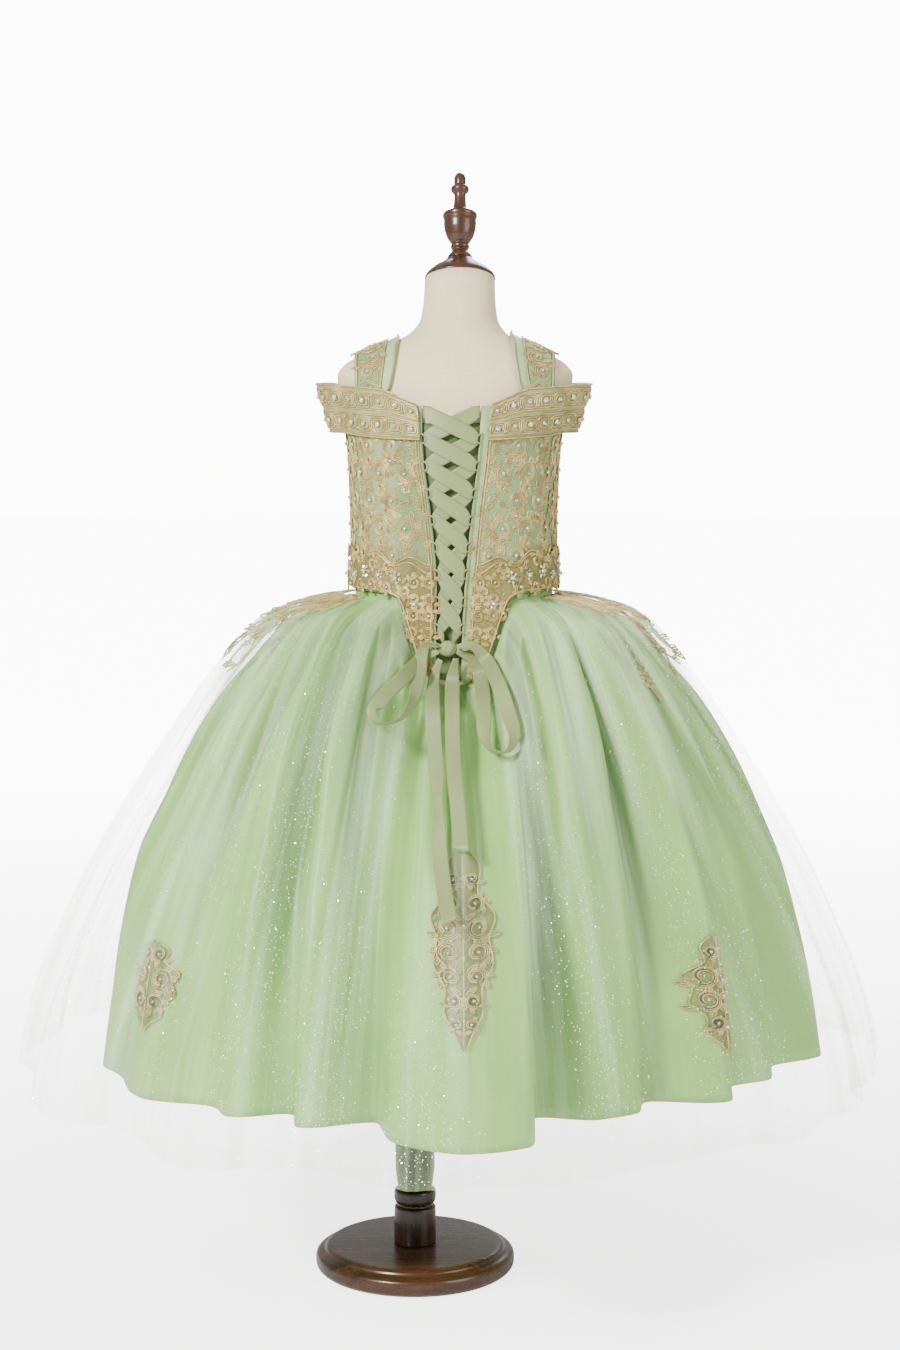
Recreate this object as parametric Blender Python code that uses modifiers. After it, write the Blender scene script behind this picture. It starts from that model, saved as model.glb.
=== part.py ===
"""Embroidered ball gown for a small child, worn by a limbless dress form on a turned stand.

The back of the gown faces -Y and its front faces +Y. Heights run from the underside of the
round base. Every cloth piece is an open lofted surface that Solidify turns into a wall.
"""
import math

import bmesh
import bpy
import numpy as np
from mathutils import Matrix, Vector
from mathutils.bvhtree import BVHTree

# Driving dimensions, in metres
MM = 0.001
SEAM_GAP = 0.3 * MM
STAND_X = -0.038
BASE_RADIUS = 0.108
BASE_HEIGHT = 0.027
POLE_RADIUS = 0.0125
TORSO_FLOOR = 0.600
NECK_TOP = 1.0648
NECK_TILT = math.radians(18.5)
SATIN_HEM = 0.240
TULLE_HEM = 0.234
RIBBON_WIDTH = 0.0150
LACE_TIP_INSET = 0.0012
LOOP_CORD_RADIUS = 0.0010
LOOP_BACK, LOOP_WAVE, LOOP_CLEAR = 0.9 * MM, 0.5 * MM, 0.4 * MM
LACE_SPACING = 0.0277
LACE_TOP = 0.930
LACE_ROWS = 8
LACE_OVER, LACE_UNDER = 10.2 * MM, 8.0 * MM
LACE_SHARES = (0.02, 0.27, 0.5, 0.73, 0.98)
LAST_SHARES = (0.1, 0.5, 1.0)
LACE_STRETCH, LACE_WIDEST, LAST_SPAN = 1.1, 0.88, 0.45
LACE_TURN = 0.9 * MM
LAST_DROP, KNOT_REACH = 0.011, 4.0 * MM

# Distances of each layer's inner face from the linen, and each layer's thickness
SATIN_CLEAR, SATIN_WALL = 1.5 * MM, 1.2 * MM
TULLE_CLEAR, TULLE_WALL = 3.3 * MM, 1.0 * MM
BODICE_CLEAR, BODICE_WALL = 5.2 * MM, 1.8 * MM
PLACKET_CLEAR, PLACKET_WALL = 1.7 * MM, 1.0 * MM
PLACKET_TOP, PLACKET_HALF, PLACKET_OVER_SATIN = 0.918, 19.0, 5.2 * MM
APPLIQUE_GAP, APPLIQUE_WALL = 1.3 * MM, 1.5 * MM
MOTIF_GAP = 1.35 * MM
BAND_GAP, BAND_WALL = 1.5 * MM, 2.4 * MM
STRAP_CLEAR, STRAP_WALL = 0.9 * MM, 2.0 * MM
RIBBON_WALL = 1.0 * MM

# Radius at which a seam's gap is turned into an angle, and how the skirt layers meet the bodice
SEAM_RADIUS = 0.10
BAND_SEAM_RADIUS = 0.07
SKIRT_TUCK = 7.5 * MM
SATIN_DROP, TULLE_DROP = 9.0 * MM, 5.5 * MM
SKIRT_SHIFT = 2.8

# Linen form, by height: middle in x, half width, half depth
FORM_SECTIONS = (
    (0.600, 0.0010, 0.0960, 0.0815),
    (0.640, 0.0025, 0.1025, 0.0872),
    (0.700, 0.0035, 0.1030, 0.0874),
    (0.745, 0.0040, 0.1014, 0.0855),
    (0.800, 0.0040, 0.1010, 0.0850),
    (0.860, 0.0040, 0.1025, 0.0870),
    (0.905, 0.0042, 0.1060, 0.0860),
    (0.930, 0.0045, 0.1130, 0.0790),
    (0.950, 0.0050, 0.1225, 0.0700),
    (0.966, 0.0055, 0.1235, 0.0620),
    (0.978, 0.0058, 0.1150, 0.0550),
    (0.990, 0.0065, 0.0920, 0.0490),
    (1.000, 0.0075, 0.0680, 0.0440),
    (1.010, 0.0085, 0.0500, 0.0400),
    (1.024, 0.0095, 0.0405, 0.0375),
    (1.045, 0.0100, 0.0375, 0.0362),
    (1.075, 0.0105, 0.0362, 0.0355),
)

# Lower edge of the bodice, by degrees from the middle of the back: height
WAIST_LINE = (
    (0.0, 0.650), (12.0, 0.656), (32.0, 0.738), (42.0, 0.743), (90.0, 0.744),
    (138.0, 0.742), (156.0, 0.726), (170.0, 0.703), (180.0, 0.702),
)
# Upper edge of the bodice, by degrees from the middle of the back: height
NECK_LINE = (
    (0.0, 0.934), (18.0, 0.936), (34.0, 0.948), (58.0, 0.948), (76.0, 0.925), (90.0, 0.914),
    (106.0, 0.922), (124.0, 0.944), (150.0, 0.944), (180.0, 0.928),
)
# Seams of the bodice in degrees, and its rows
BODICE_SIDE, BODICE_FRONT = 58.0, 118.0
BODICE_ROWS = 11
MIDDLE_HEIGHT = 0.84
# Laced opening, by height: middle in x, half width
OPENING = (
    (0.640, -0.0010, 0.0125), (0.700, -0.0008, 0.0130), (0.740, 0.0006, 0.0136),
    (0.782, 0.0016, 0.0162), (0.835, 0.0012, 0.0216), (0.887, 0.0010, 0.0278),
    (0.940, 0.0016, 0.0306),
)

# Share of the way out from waist to hem, by share of the way down
SATIN_SLOPE = (
    (0.0, 0.0), (0.012, 0.10), (0.03, 0.20), (0.06, 0.262), (0.10, 0.335), (0.137, 0.393),
    (0.19, 0.485), (0.244, 0.561), (0.349, 0.677), (0.455, 0.768), (0.564, 0.849),
    (0.671, 0.902), (0.78, 0.944), (0.889, 0.975), (1.0, 1.0),
)
TULLE_SLOPE = (
    (0.0, 0.0), (0.012, 0.11), (0.03, 0.21), (0.049, 0.262), (0.112, 0.352), (0.175, 0.425),
    (0.237, 0.488), (0.30, 0.545), (0.363, 0.603), (0.425, 0.658), (0.488, 0.712),
    (0.551, 0.762), (0.614, 0.808), (0.678, 0.850), (0.741, 0.890), (0.806, 0.930),
    (0.869, 0.958), (0.931, 0.982), (1.0, 1.0),
)
SATIN_ROWS = (0.0, 0.012, 0.035, 0.09, 0.17, 0.28, 0.42, 0.58, 0.78, 1.0)
TULLE_ROWS = (0.0, 0.012, 0.035, 0.09, 0.20, 0.34, 0.53, 0.75, 1.0)

# Each skirt layer: height of its hem, its slope, its distance from the linen, and how far its
# upper edge lies below the waist line
SATIN_LAYER = (SATIN_HEM, SATIN_SLOPE, SATIN_CLEAR, SATIN_DROP)
TULLE_LAYER = (TULLE_HEM, TULLE_SLOPE, TULLE_CLEAR, TULLE_DROP)

# Folds of the satin skirt at its hem: degrees from the middle of the back, radius
SATIN_FOLDS = (
    (-180, 0.392), (-157, 0.350), (-146, 0.386), (-134, 0.348), (-122, 0.384), (-110, 0.352),
    (-97, 0.378), (-89, 0.366), (-82, 0.374), (-73, 0.358), (-60, 0.366), (-47, 0.322),
    (-41, 0.336), (-32.5, 0.292), (-27, 0.326), (-15, 0.286), (-9, 0.345), (2, 0.381),
    (12, 0.366), (18, 0.272), (29, 0.303), (37, 0.306), (44, 0.282), (55, 0.346),
    (63, 0.322), (72, 0.352), (79, 0.348), (88, 0.400), (97, 0.380), (110, 0.356),
    (122, 0.388), (134, 0.350), (146, 0.388), (157, 0.350), (180, 0.392),
)
SATIN_SEAMS = (-180, -122, -60, 2, 55, 122, 180)
SATIN_PANELS = ("skirt_front_left", "skirt_side_left", "skirt_back_left",
                "skirt_back_right", "skirt_side_right", "skirt_front_right")
FOLD_STEPS = 2
WAIST_SWING = 18.0

# Ruffles of the net overskirt at its hem
TULLE_RADIUS = 0.452
TULLE_RUFFLES = 12
TULLE_RUFFLE_DEPTH = 0.008
TULLE_STEP = 7.5
TULLE_SHARED = (41.0, 146.0)
TULLE_SEAMS = (-180, -90, 2, 90, 180)
TULLE_PANELS = ("tulle_front_left", "tulle_back_left", "tulle_back_right", "tulle_front_right")
HOLLOW_DEPTH, HOLLOW_HALF_ANGLE, HOLLOW_PEAK = 0.042, 24.0, 0.12

# Shoulder band in plan beyond the bodice, for the right arm: x, y of its upper edge
ARM_LOOP = ((0.127, -0.036), (0.141, -0.020), (0.1470, 0.002), (0.1450, 0.024), (0.130, 0.040))
ARM_LOOP_TAPER = 0.015
BAND_TOP = ((0.0, 0.937), (17.0, 0.938), (33.0, 0.953), (60.0, 0.956), (90.0, 0.9575),
            (120.0, 0.956), (150.0, 0.950), (180.0, 0.936))
BAND_FOOT = ((0.0, 0.901), (17.0, 0.901), (60.0, 0.904), (90.0, 0.906), (120.0, 0.904),
             (180.0, 0.890))
BAND_LEAVES, BAND_LANDS = 58.0, 122.0
BAND_START = 17.5
BAND_COLUMNS = 30

# Shoulder straps: x of the inner and outer edge where they meet the band and on the shoulder
STRAP_FOOT, STRAP_CREST = (0.070, 0.103), (0.058, 0.105)
STRAP_END = 0.951

# Bow and tails below the laces. Loop rows: x, height, lift off the cloth, lean of the ribbon
KNOT = (-0.002, 0.6885)
KNOT_OUT = 0.0150
KNOT_SIZE = (0.0085, 0.0050, 0.0075)
LOOP_LEFT = (
    (-0.0113, 0.6860, 0.0060, 10), (-0.0270, 0.6790, 0.0040, 0), (-0.0480, 0.6640, 0.0030, 0),
    (-0.0670, 0.6480, 0.0035, 15), (-0.0765, 0.6370, 0.0070, 45), (-0.0700, 0.6270, 0.0120, 70),
    (-0.0520, 0.6280, 0.0150, 70), (-0.0380, 0.6420, 0.0150, 40), (-0.0320, 0.6640, 0.0140, 10),
    (-0.0290, 0.6820, 0.0120, 0), (-0.0235, 0.6930, 0.0120, 25), (-0.0120, 0.6920, 0.0130, 40),
)
LOOP_RIGHT = (
    (0.0062, 0.6862, 0.0052, 10), (0.0240, 0.6760, 0.0035, 0), (0.0320, 0.6540, 0.0030, 0),
    (0.0340, 0.6280, 0.0030, 0), (0.0350, 0.6100, 0.0060, 30), (0.0430, 0.5990, 0.0110, 70),
    (0.0560, 0.5990, 0.0150, 70), (0.0630, 0.6120, 0.0150, 40), (0.0580, 0.6340, 0.0130, 10),
    (0.0490, 0.6580, 0.0120, 0), (0.0350, 0.6800, 0.0120, 10), (0.0210, 0.6930, 0.0120, 35),
    (0.0066, 0.6912, 0.0112, 45),
)
# Tail rows: x, height, lift off the cloth, turn of the ribbon
TAIL_LONG = (
    (-0.0100, 0.6782, 0.0115, 30), (-0.0160, 0.6600, 0.0090, 0), (-0.0165, 0.6180, 0.0050, 0),
    (-0.0130, 0.5760, 0.0050, 20), (-0.0110, 0.5480, 0.0070, 60), (-0.0105, 0.5200, 0.0060, 20),
    (-0.0070, 0.4900, 0.0050, 0), (-0.0005, 0.4560, 0.0050, 0),
)
TAIL_SHORT = (
    (0.0060, 0.6790, 0.0090, -30), (0.0030, 0.6600, 0.0060, 0), (0.0025, 0.6180, 0.0050, 0),
    (0.0045, 0.5760, 0.0050, 0), (0.0085, 0.5400, 0.0050, 0), (0.0105, 0.5150, 0.0050, 0),
)

# Gold applique motifs. Outline rows: share of the way down, share of the half width
MOTIF_OUTLINE = (
    (0.0, 0.20), (0.10, 0.52), (0.20, 0.44), (0.34, 0.98), (0.44, 0.80), (0.56, 0.92),
    (0.70, 0.56), (0.80, 0.60), (0.92, 0.26), (1.0, 0.08),
)
SPRAY_OUTLINE = (
    (0.0, 0.40), (0.12, 0.85), (0.28, 1.0), (0.45, 0.68), (0.60, 0.75), (0.80, 0.36), (1.0, 0.10),
)
# Rows of points in a motif, the share of the way down that stands for the tucked row, the least
# turn between a motif's middle and a fold, and the share of its width kept between columns
MOTIF_ROWS, TUCK_SHARE, FOLD_APART, EDGE_STEP = 10, -0.01, 0.5, 0.06
# Motif rows: name, degrees at the hem, share down at the top, at the foot, half width
MOTIFS = (
    ("skirt_motif_back", 2.0, 0.33, 0.76, 0.031),
    ("skirt_motif_back_left", -60.0, 0.68, 0.86, 0.036),
    ("skirt_motif_back_right", 55.0, 0.66, 0.90, 0.032),
    ("skirt_motif_front", 180.0, 0.42, 0.80, 0.031),
    ("skirt_motif_front_left", -122.0, 0.66, 0.88, 0.036),
    ("skirt_motif_front_right", 122.0, 0.66, 0.88, 0.036),
)
SPRAYS = (
    ("hip_spray_back_left", -73.0, 0.034, 0.150, 0.026),
    ("hip_spray_back_right", 72.0, 0.034, 0.215, 0.030),
    ("hip_spray_front_left", -122.0, 0.034, 0.190, 0.028),
    ("hip_spray_front_right", 122.0, 0.034, 0.190, 0.028),
)
# Waist applique: rows and columns, its height above the waist line, how far its edges lie from
# the laced opening, and by degrees from the middle of the back the height of its scallops
WAIST_ROWS, WAIST_COLUMNS = 6, 13
WAIST_LIFT, WAIST_MIDDLE = 3.0 * MM, 0.76
WAIST_FROM_LEFT, WAIST_FROM_RIGHT = -2.6, 5.0
WAIST_SCALLOPS = (
    (0.0, 0.772), (14.0, 0.774), (24.0, 0.781), (34.0, 0.774), (46.0, 0.787), (60.0, 0.777),
    (76.0, 0.789), (92.0, 0.777), (108.0, 0.787), (124.0, 0.776), (140.0, 0.786), (156.0, 0.774),
    (168.0, 0.770), (180.0, 0.760),
)

# Collections and finishes
for leftover in list(bpy.data.objects):
    bpy.data.objects.remove(leftover, do_unlink=True)
GOWN = bpy.data.collections.new("embroidered_dress")
bpy.context.scene.collection.children.link(GOWN)


def finish(name, colour, roughness, metallic=0.0):
    """Make one Principled material from a plain colour."""
    material = bpy.data.materials.new(name)
    material.use_nodes = True
    shader = material.node_tree.nodes["Principled BSDF"]
    shader.inputs["Base Color"].default_value = (*colour, 1.0)
    shader.inputs["Roughness"].default_value = roughness
    shader.inputs["Metallic"].default_value = metallic
    return material


WALNUT = finish("walnut", (0.060, 0.030, 0.017), 0.42)
LINEN = finish("linen", (0.700, 0.640, 0.530), 0.90)
SATIN = finish("satin", (0.500, 0.680, 0.400), 0.45)
TULLE = finish("tulle", (0.650, 0.790, 0.560), 0.60)
GOLD = finish("gold_cord", (0.600, 0.420, 0.210), 0.40, 0.45)
RIBBON = finish("ribbon", (0.480, 0.540, 0.350), 0.50)
PLACKET = finish("placket", (0.120, 0.160, 0.070), 0.70)


# Tables and curves
def slopes(knots, values):
    """Slopes of a smooth curve through a table that never swings past its rows."""
    steps = np.diff(knots)
    chords = np.diff(values) / steps
    result = np.zeros(len(knots))
    result[0], result[-1] = chords[0], chords[-1]
    for i in range(1, len(knots) - 1):
        if chords[i - 1] * chords[i] > 0:
            weight_a = 2 * steps[i] + steps[i - 1]
            weight_b = steps[i] + 2 * steps[i - 1]
            result[i] = (weight_a + weight_b) / (weight_a / chords[i - 1] + weight_b / chords[i])
    return result


def read(table, place, column=1):
    """Read one column of a table at a place between its rows, on a smooth curve."""
    knots = np.array([row[0] for row in table], float)
    values = np.array([row[column] for row in table], float)
    place = min(max(place, knots[0]), knots[-1])
    i = min(int(np.searchsorted(knots, place, side="right")) - 1, len(knots) - 2)
    i = max(i, 0)
    step = knots[i + 1] - knots[i]
    t = (place - knots[i]) / step
    slope = slopes(knots, values)
    return ((1 + 2 * t) * (1 - t) ** 2 * values[i] + t * (1 - t) ** 2 * step * slope[i]
            + t * t * (3 - 2 * t) * values[i + 1] + t * t * (t - 1) * step * slope[i + 1])


def smooth_path(points, count):
    """Even points along a smooth curve through a few points."""
    points = np.array(points, float)
    strides = np.linalg.norm(np.diff(points[:, :3], axis=0), axis=1)
    lengths = np.concatenate([[0.0], np.cumsum(strides)])
    tables = [tuple(zip(lengths, points[:, k])) for k in range(points.shape[1])]
    tangents = [np.gradient(points[:, k], lengths) for k in range(points.shape[1])]
    result = []
    for place in np.linspace(0, lengths[-1], count):
        i = min(max(int(np.searchsorted(lengths, place, side="right")) - 1, 0), len(lengths) - 2)
        step = lengths[i + 1] - lengths[i]
        t = (place - lengths[i]) / step
        row = []
        for table, tangent in zip(tables, tangents):
            row.append((1 + 2 * t) * (1 - t) ** 2 * table[i][1]
                       + t * (1 - t) ** 2 * step * tangent[i]
                       + t * t * (3 - 2 * t) * table[i + 1][1]
                       + t * t * (t - 1) * step * tangent[i + 1])
        result.append(row)
    return np.array(result)


# Surfaces that the pieces follow
def form_point(angle, height, out=0.0):
    """Point on the linen form, or at a distance out from it. The angle is in degrees from
    the middle of the back, growing towards +X."""
    turn = math.radians(angle)
    middle = read(FORM_SECTIONS, height, 1)
    half_width = read(FORM_SECTIONS, height, 2) + out
    half_depth = read(FORM_SECTIONS, height, 3) + out
    return np.array([middle + half_width * math.sin(turn), -half_depth * math.cos(turn), height])


def form_angle(x, height, out=BODICE_CLEAR):
    """Angle at which a layer at some distance from the form's back has a given x."""
    middle = read(FORM_SECTIONS, height, 1)
    half_width = read(FORM_SECTIONS, height, 2) + out
    return math.degrees(math.asin(max(-1.0, min(1.0, (x - middle) / half_width))))


def opening_edge(height, side):
    """Angle of the laced opening's edge at a height, side -1 or +1."""
    return form_angle(read(OPENING, height, 1) + side * read(OPENING, height, 2), height)


def waist_angle(hem_angle):
    """Angle at the waist of the gathers that reach the hem at an angle."""
    return hem_angle + WAIST_SWING * math.sin(math.radians(2 * hem_angle))


def skirt_top(at_waist, drop):
    """Height of a skirt layer's upper edge, just clear of the points of the bodice."""
    from_back = abs(at_waist)
    nearer = from_back - SKIRT_SHIFT if from_back < 90 else from_back + SKIRT_SHIFT
    return read(WAIST_LINE, nearer) - drop


def skirt_point(hem_angle, down, hem_radius, hem_height, slope, clear, drop):
    """Point of a skirt layer that falls from the waist line to its hem."""
    at_waist = waist_angle(hem_angle)
    top = skirt_top(at_waist, drop)
    start = form_point(at_waist, top, clear)
    turn = math.radians(hem_angle)
    share = read(slope, down)
    dent = down / HOLLOW_PEAK * math.exp(1 - down / HOLLOW_PEAK)
    end = np.array([hem_radius * math.sin(turn), -hem_radius * math.cos(turn)])
    place = start[:2] + (end - start[:2]) * share
    near_middle = math.exp(-(hem_angle / HOLLOW_HALF_ANGLE) ** 2)
    place[1] += HOLLOW_DEPTH * dent * near_middle
    return np.array([place[0], place[1], top + (hem_height - top) * down])


def skirt_grid(angles, rows, radius_at, *layer):
    """Rows and columns of a skirt layer, its first row tucked up under the bodice."""
    clear = layer[2]
    grid = []
    for row in (None,) + tuple(rows):
        line = []
        for angle in angles:
            point = skirt_point(angle, row or 0.0, radius_at(angle), *layer)
            if row is None:
                height = point[2] + SKIRT_TUCK
                point = form_point(waist_angle(angle), height, clear)
            line.append(point)
        grid.append(line)
    return np.array(grid)


def satin_radius(angle):
    return read(SATIN_FOLDS, angle)


def tulle_radius(angle):
    return TULLE_RADIUS + TULLE_RUFFLE_DEPTH * math.cos(math.radians(TULLE_RUFFLES * angle))


def fold_columns():
    """Columns of the satin: each ridge and valley, and even steps between them."""
    columns = []
    for (start, _), (end, _) in zip(SATIN_FOLDS[:-1], SATIN_FOLDS[1:]):
        columns += [start + (end - start) * k / FOLD_STEPS for k in range(FOLD_STEPS)]
    return columns + [SATIN_FOLDS[-1][0]]


def grid_normals(grid):
    """Outward unit normals of a grid whose rows run down and whose columns run round."""
    down = np.gradient(grid, axis=0)
    along = np.gradient(grid, axis=1)
    normals = np.cross(down, along)
    return normals / np.linalg.norm(normals, axis=2, keepdims=True)


def sample(grid, row, column):
    """Point between the rows and columns of a grid."""
    i = min(int(row), grid.shape[0] - 2)
    j = min(int(column), grid.shape[1] - 2)
    u, v = row - i, column - j
    return ((1 - u) * (1 - v) * grid[i, j] + u * (1 - v) * grid[i + 1, j]
            + (1 - u) * v * grid[i, j + 1] + u * v * grid[i + 1, j + 1])


# Makers of solids
def add_object(name, mesh, material):
    mesh.materials.append(material)
    mesh.shade_smooth()
    piece = bpy.data.objects.new(name, mesh)
    GOWN.objects.link(piece)
    return piece


def grid_mesh(name, grid):
    """Mesh of quads through a grid of points."""
    rows, columns = grid.shape[:2]
    points = [tuple(point) for point in grid.reshape(-1, 3)]
    faces = []
    for i in range(rows - 1):
        for j in range(columns - 1):
            corner = i * columns + j
            faces.append((corner, corner + columns, corner + columns + 1, corner + 1))
    mesh = bpy.data.meshes.new(name)
    mesh.from_pydata(points, [], faces)
    return mesh


def wall(name, grid, thickness, material):
    """Cloth wall: the grid is its inner face, and Solidify adds the outer one."""
    piece = add_object(name, grid_mesh(name, np.array(grid)), material)
    solid = piece.modifiers.new("cloth", "SOLIDIFY")
    solid.thickness = thickness
    solid.offset = 1.0
    return piece


def turned(name, profile, segments, material, place, tilt=0.0):
    """Turned piece: a profile of radius and height, from the top down, about its axis."""
    mesh = bpy.data.meshes.new(name)
    points = [(radius, 0.0, height) for radius, height in profile]
    mesh.from_pydata(points, [(i, i + 1) for i in range(len(points) - 1)], [])
    piece = add_object(name, mesh, material)
    lathe = piece.modifiers.new("lathe", "SCREW")
    lathe.steps = segments
    lathe.render_steps = segments
    lathe.use_merge_vertices = True
    lathe.merge_threshold = 0.01 * MM
    piece.location = place
    piece.rotation_euler = (-tilt, 0.0, 0.0)
    return piece


def tube(name, points, radius, material):
    """Round cord along a list of points, with filled ends."""
    curve = bpy.data.curves.new(name, "CURVE")
    curve.dimensions = "3D"
    curve.bevel_depth = radius
    curve.bevel_resolution = 2
    curve.use_fill_caps = True
    spline = curve.splines.new("POLY")
    spline.points.add(len(points) - 1)
    for knot, point in zip(spline.points, points):
        knot.co = (*point, 1.0)
    curve.materials.append(material)
    piece = bpy.data.objects.new(name, curve)
    GOWN.objects.link(piece)
    return piece


# Stand
def build_stand():
    base = [(0.0, BASE_HEIGHT), (0.0900, BASE_HEIGHT), (0.0955, 0.0258), (0.0985, 0.0225),
            (0.1010, 0.0205), (0.1055, 0.0190), (BASE_RADIUS, 0.0150), (BASE_RADIUS, 0.0070),
            (0.1050, 0.0025), (0.1000, 0.0), (0.0, 0.0)]
    turned("stand_base", base, 32, WALNUT, (STAND_X, 0, 0))
    foot = BASE_HEIGHT + SEAM_GAP
    column = [(0.0, TORSO_FLOOR - SEAM_GAP), (POLE_RADIUS, TORSO_FLOOR - SEAM_GAP),
              (POLE_RADIUS, 0.250), (0.0150, 0.225), (0.0195, 0.170), (0.0215, 0.135),
              (0.0212, 0.110), (0.0190, 0.092), (0.0185, 0.0885), (0.0218, 0.0865),
              (0.0224, 0.0825), (0.0224, 0.0760), (0.0215, 0.0730), (0.0190, 0.0715),
              (0.0190, 0.0695), (0.0222, 0.0680), (0.0228, 0.0500), (0.0228, foot), (0.0, foot)]
    turned("stand_column", column, 16, WALNUT, (STAND_X, 0, 0))


def neck_plane(y):
    """Height of the sloping top of the neck."""
    return NECK_TOP - math.tan(NECK_TILT) * y


def build_torso():
    """Limbless form: stacked sections, a flat underside, and a sloping top on the neck."""
    heights = [TORSO_FLOOR, 0.606, 0.640, 0.700, 0.745, 0.800, 0.860, 0.905, 0.930, 0.945, 0.957,
               0.966, 0.973, 0.979, 0.986, 0.993, 1.000, 1.007, 1.014, 1.024, 1.036]
    shrink = {TORSO_FLOOR: 0.006}
    sides = 28
    rings = []
    for height in heights:
        inset = shrink.get(height, 0.0)
        rings.append([form_point(360 * k / sides, height, -inset) for k in range(sides)])
    top = [form_point(360 * k / sides, NECK_TOP) for k in range(sides)]
    for point in top:
        point[2] = neck_plane(point[1])
    rings.append(top)
    mesh = bpy.data.meshes.new("torso")
    points = [tuple(point) for ring in rings for point in ring]
    faces = []
    for i in range(len(rings) - 1):
        for k in range(sides):
            a, b = i * sides + k, i * sides + (k + 1) % sides
            faces.append((a, b, b + sides, a + sides))
    faces.append(tuple(reversed(range(sides))))
    last = (len(rings) - 1) * sides
    faces.append(tuple(range(last, last + sides)))
    mesh.from_pydata(points, [], faces)
    add_object("torso", mesh, LINEN)


def build_neck_cap():
    """Domed cap and finial, square to the sloping neck."""
    axis = Vector((0, math.sin(NECK_TILT), math.cos(NECK_TILT)))
    seat = Vector((0.0105, 0, NECK_TOP)) + axis * SEAM_GAP
    cap = [(0.0, 0.0225), (0.0130, 0.0225), (0.0160, 0.0205), (0.0200, 0.0165), (0.0270, 0.0125),
           (0.0330, 0.0075), (0.0372, 0.0025), (0.0372, 0.0), (0.0, 0.0)]
    turned("neck_cap", cap, 24, WALNUT, seat, NECK_TILT)
    finial = [(0.0, 0.0955), (0.0030, 0.0950), (0.0056, 0.0925), (0.0062, 0.0890),
              (0.0062, 0.0835), (0.0058, 0.0820), (0.0085, 0.0800), (0.0097, 0.0770),
              (0.0090, 0.0740), (0.0062, 0.0720), (0.0066, 0.0620), (0.0077, 0.0545),
              (0.0130, 0.0515), (0.0183, 0.0480), (0.0176, 0.0445), (0.0168, 0.0340),
              (0.0140, 0.0245), (0.0085, 0.0160), (0.0097, 0.0145), (0.0097, 0.0115),
              (0.0080, 0.0105), (0.0120, 0.0045), (0.0140, 0.0), (0.0, 0.0)]
    turned("neck_finial", finial, 14, WALNUT, seat + axis * (0.0225 + SEAM_GAP), NECK_TILT)


# Bodice
def bodice_grid(left_at, right_at, columns, clear):
    """Panel of the bodice between two edges, each an angle by height."""
    grid = []
    for i in range(BODICE_ROWS):
        line = []
        for j in range(columns):
            share = j / (columns - 1)
            angle = left_at(MIDDLE_HEIGHT) * (1 - share) + right_at(MIDDLE_HEIGHT) * share
            foot = read(WAIST_LINE, abs(angle))
            top = read(NECK_LINE, abs(angle))
            height = top + (foot - top) * i / (BODICE_ROWS - 1)
            angle = left_at(height) * (1 - share) + right_at(height) * share
            line.append(form_point(angle, height, clear))
        grid.append(line)
    return np.array(grid)


def seam(angle, side=0):
    """Edge at a fixed angle, drawn back by half a seam's gap."""
    half_gap = math.degrees(SEAM_GAP / SEAM_RADIUS)
    return lambda height: angle + side * half_gap


def build_bodice():
    def left_edge(height):
        return opening_edge(height, -1)

    def right_edge(height):
        return opening_edge(height, 1)

    panels = (
        ("bodice_back_left", seam(-BODICE_SIDE, 1), left_edge, 9),
        ("bodice_back_right", right_edge, seam(BODICE_SIDE, -1), 9),
        ("bodice_side_left", seam(-BODICE_FRONT, 1), seam(-BODICE_SIDE, -1), 7),
        ("bodice_side_right", seam(BODICE_SIDE, 1), seam(BODICE_FRONT, -1), 7),
        ("bodice_front", seam(BODICE_FRONT, 1), seam(360 - BODICE_FRONT, -1), 13),
    )
    for name, left, right, columns in panels:
        if name == "bodice_front":
            grid = front_grid(columns)
        else:
            grid = bodice_grid(left, right, columns, BODICE_CLEAR)
        wall(name, grid, BODICE_WALL, SATIN)


def front_grid(columns):
    """Front panel, between its two seams."""
    half_gap = math.degrees(SEAM_GAP / SEAM_RADIUS)
    start, end = BODICE_FRONT + half_gap, 360 - BODICE_FRONT - half_gap
    grid = []
    for i in range(BODICE_ROWS):
        line = []
        for j in range(columns):
            angle = start + (end - start) * j / (columns - 1)
            from_back = min(angle, 360 - angle)
            foot, top = read(WAIST_LINE, from_back), read(NECK_LINE, from_back)
            height = top + (foot - top) * i / (BODICE_ROWS - 1)
            line.append(form_point(angle, height, BODICE_CLEAR))
        grid.append(line)
    return np.array(grid)


def build_placket():
    """Panel behind the laces, down to the edge of the satin."""
    rows, columns = 10, 9
    grid = []
    for i in range(rows):
        line = []
        for angle in np.linspace(-PLACKET_HALF, PLACKET_HALF, columns):
            foot = skirt_top(angle, SATIN_DROP - SKIRT_TUCK) + PLACKET_OVER_SATIN
            height = PLACKET_TOP + (foot - PLACKET_TOP) * i / (rows - 1)
            line.append(form_point(angle, height, PLACKET_CLEAR))
        grid.append(line)
    wall("lacing_placket", grid, PLACKET_WALL, PLACKET)


# Skirts
def column_range(columns, start, end):
    return [i for i, angle in enumerate(columns) if start - 1e-6 <= angle <= end + 1e-6]


def skirt_panels(names, columns, seams, rows, radius_at, layer, thickness, material):
    """Cut one skirt layer into panels at its seams, each edge drawn back by half a gap."""
    for name, start, end in zip(names, seams[:-1], seams[1:]):
        inside = [columns[i] for i in column_range(columns, start, end)]
        half_gap = math.degrees(0.5 * SEAM_GAP / SEAM_RADIUS)
        inside[0] += half_gap
        inside[-1] -= half_gap
        grid = skirt_grid(inside, rows, radius_at, *layer)
        wall(name, grid, thickness, material)


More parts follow.
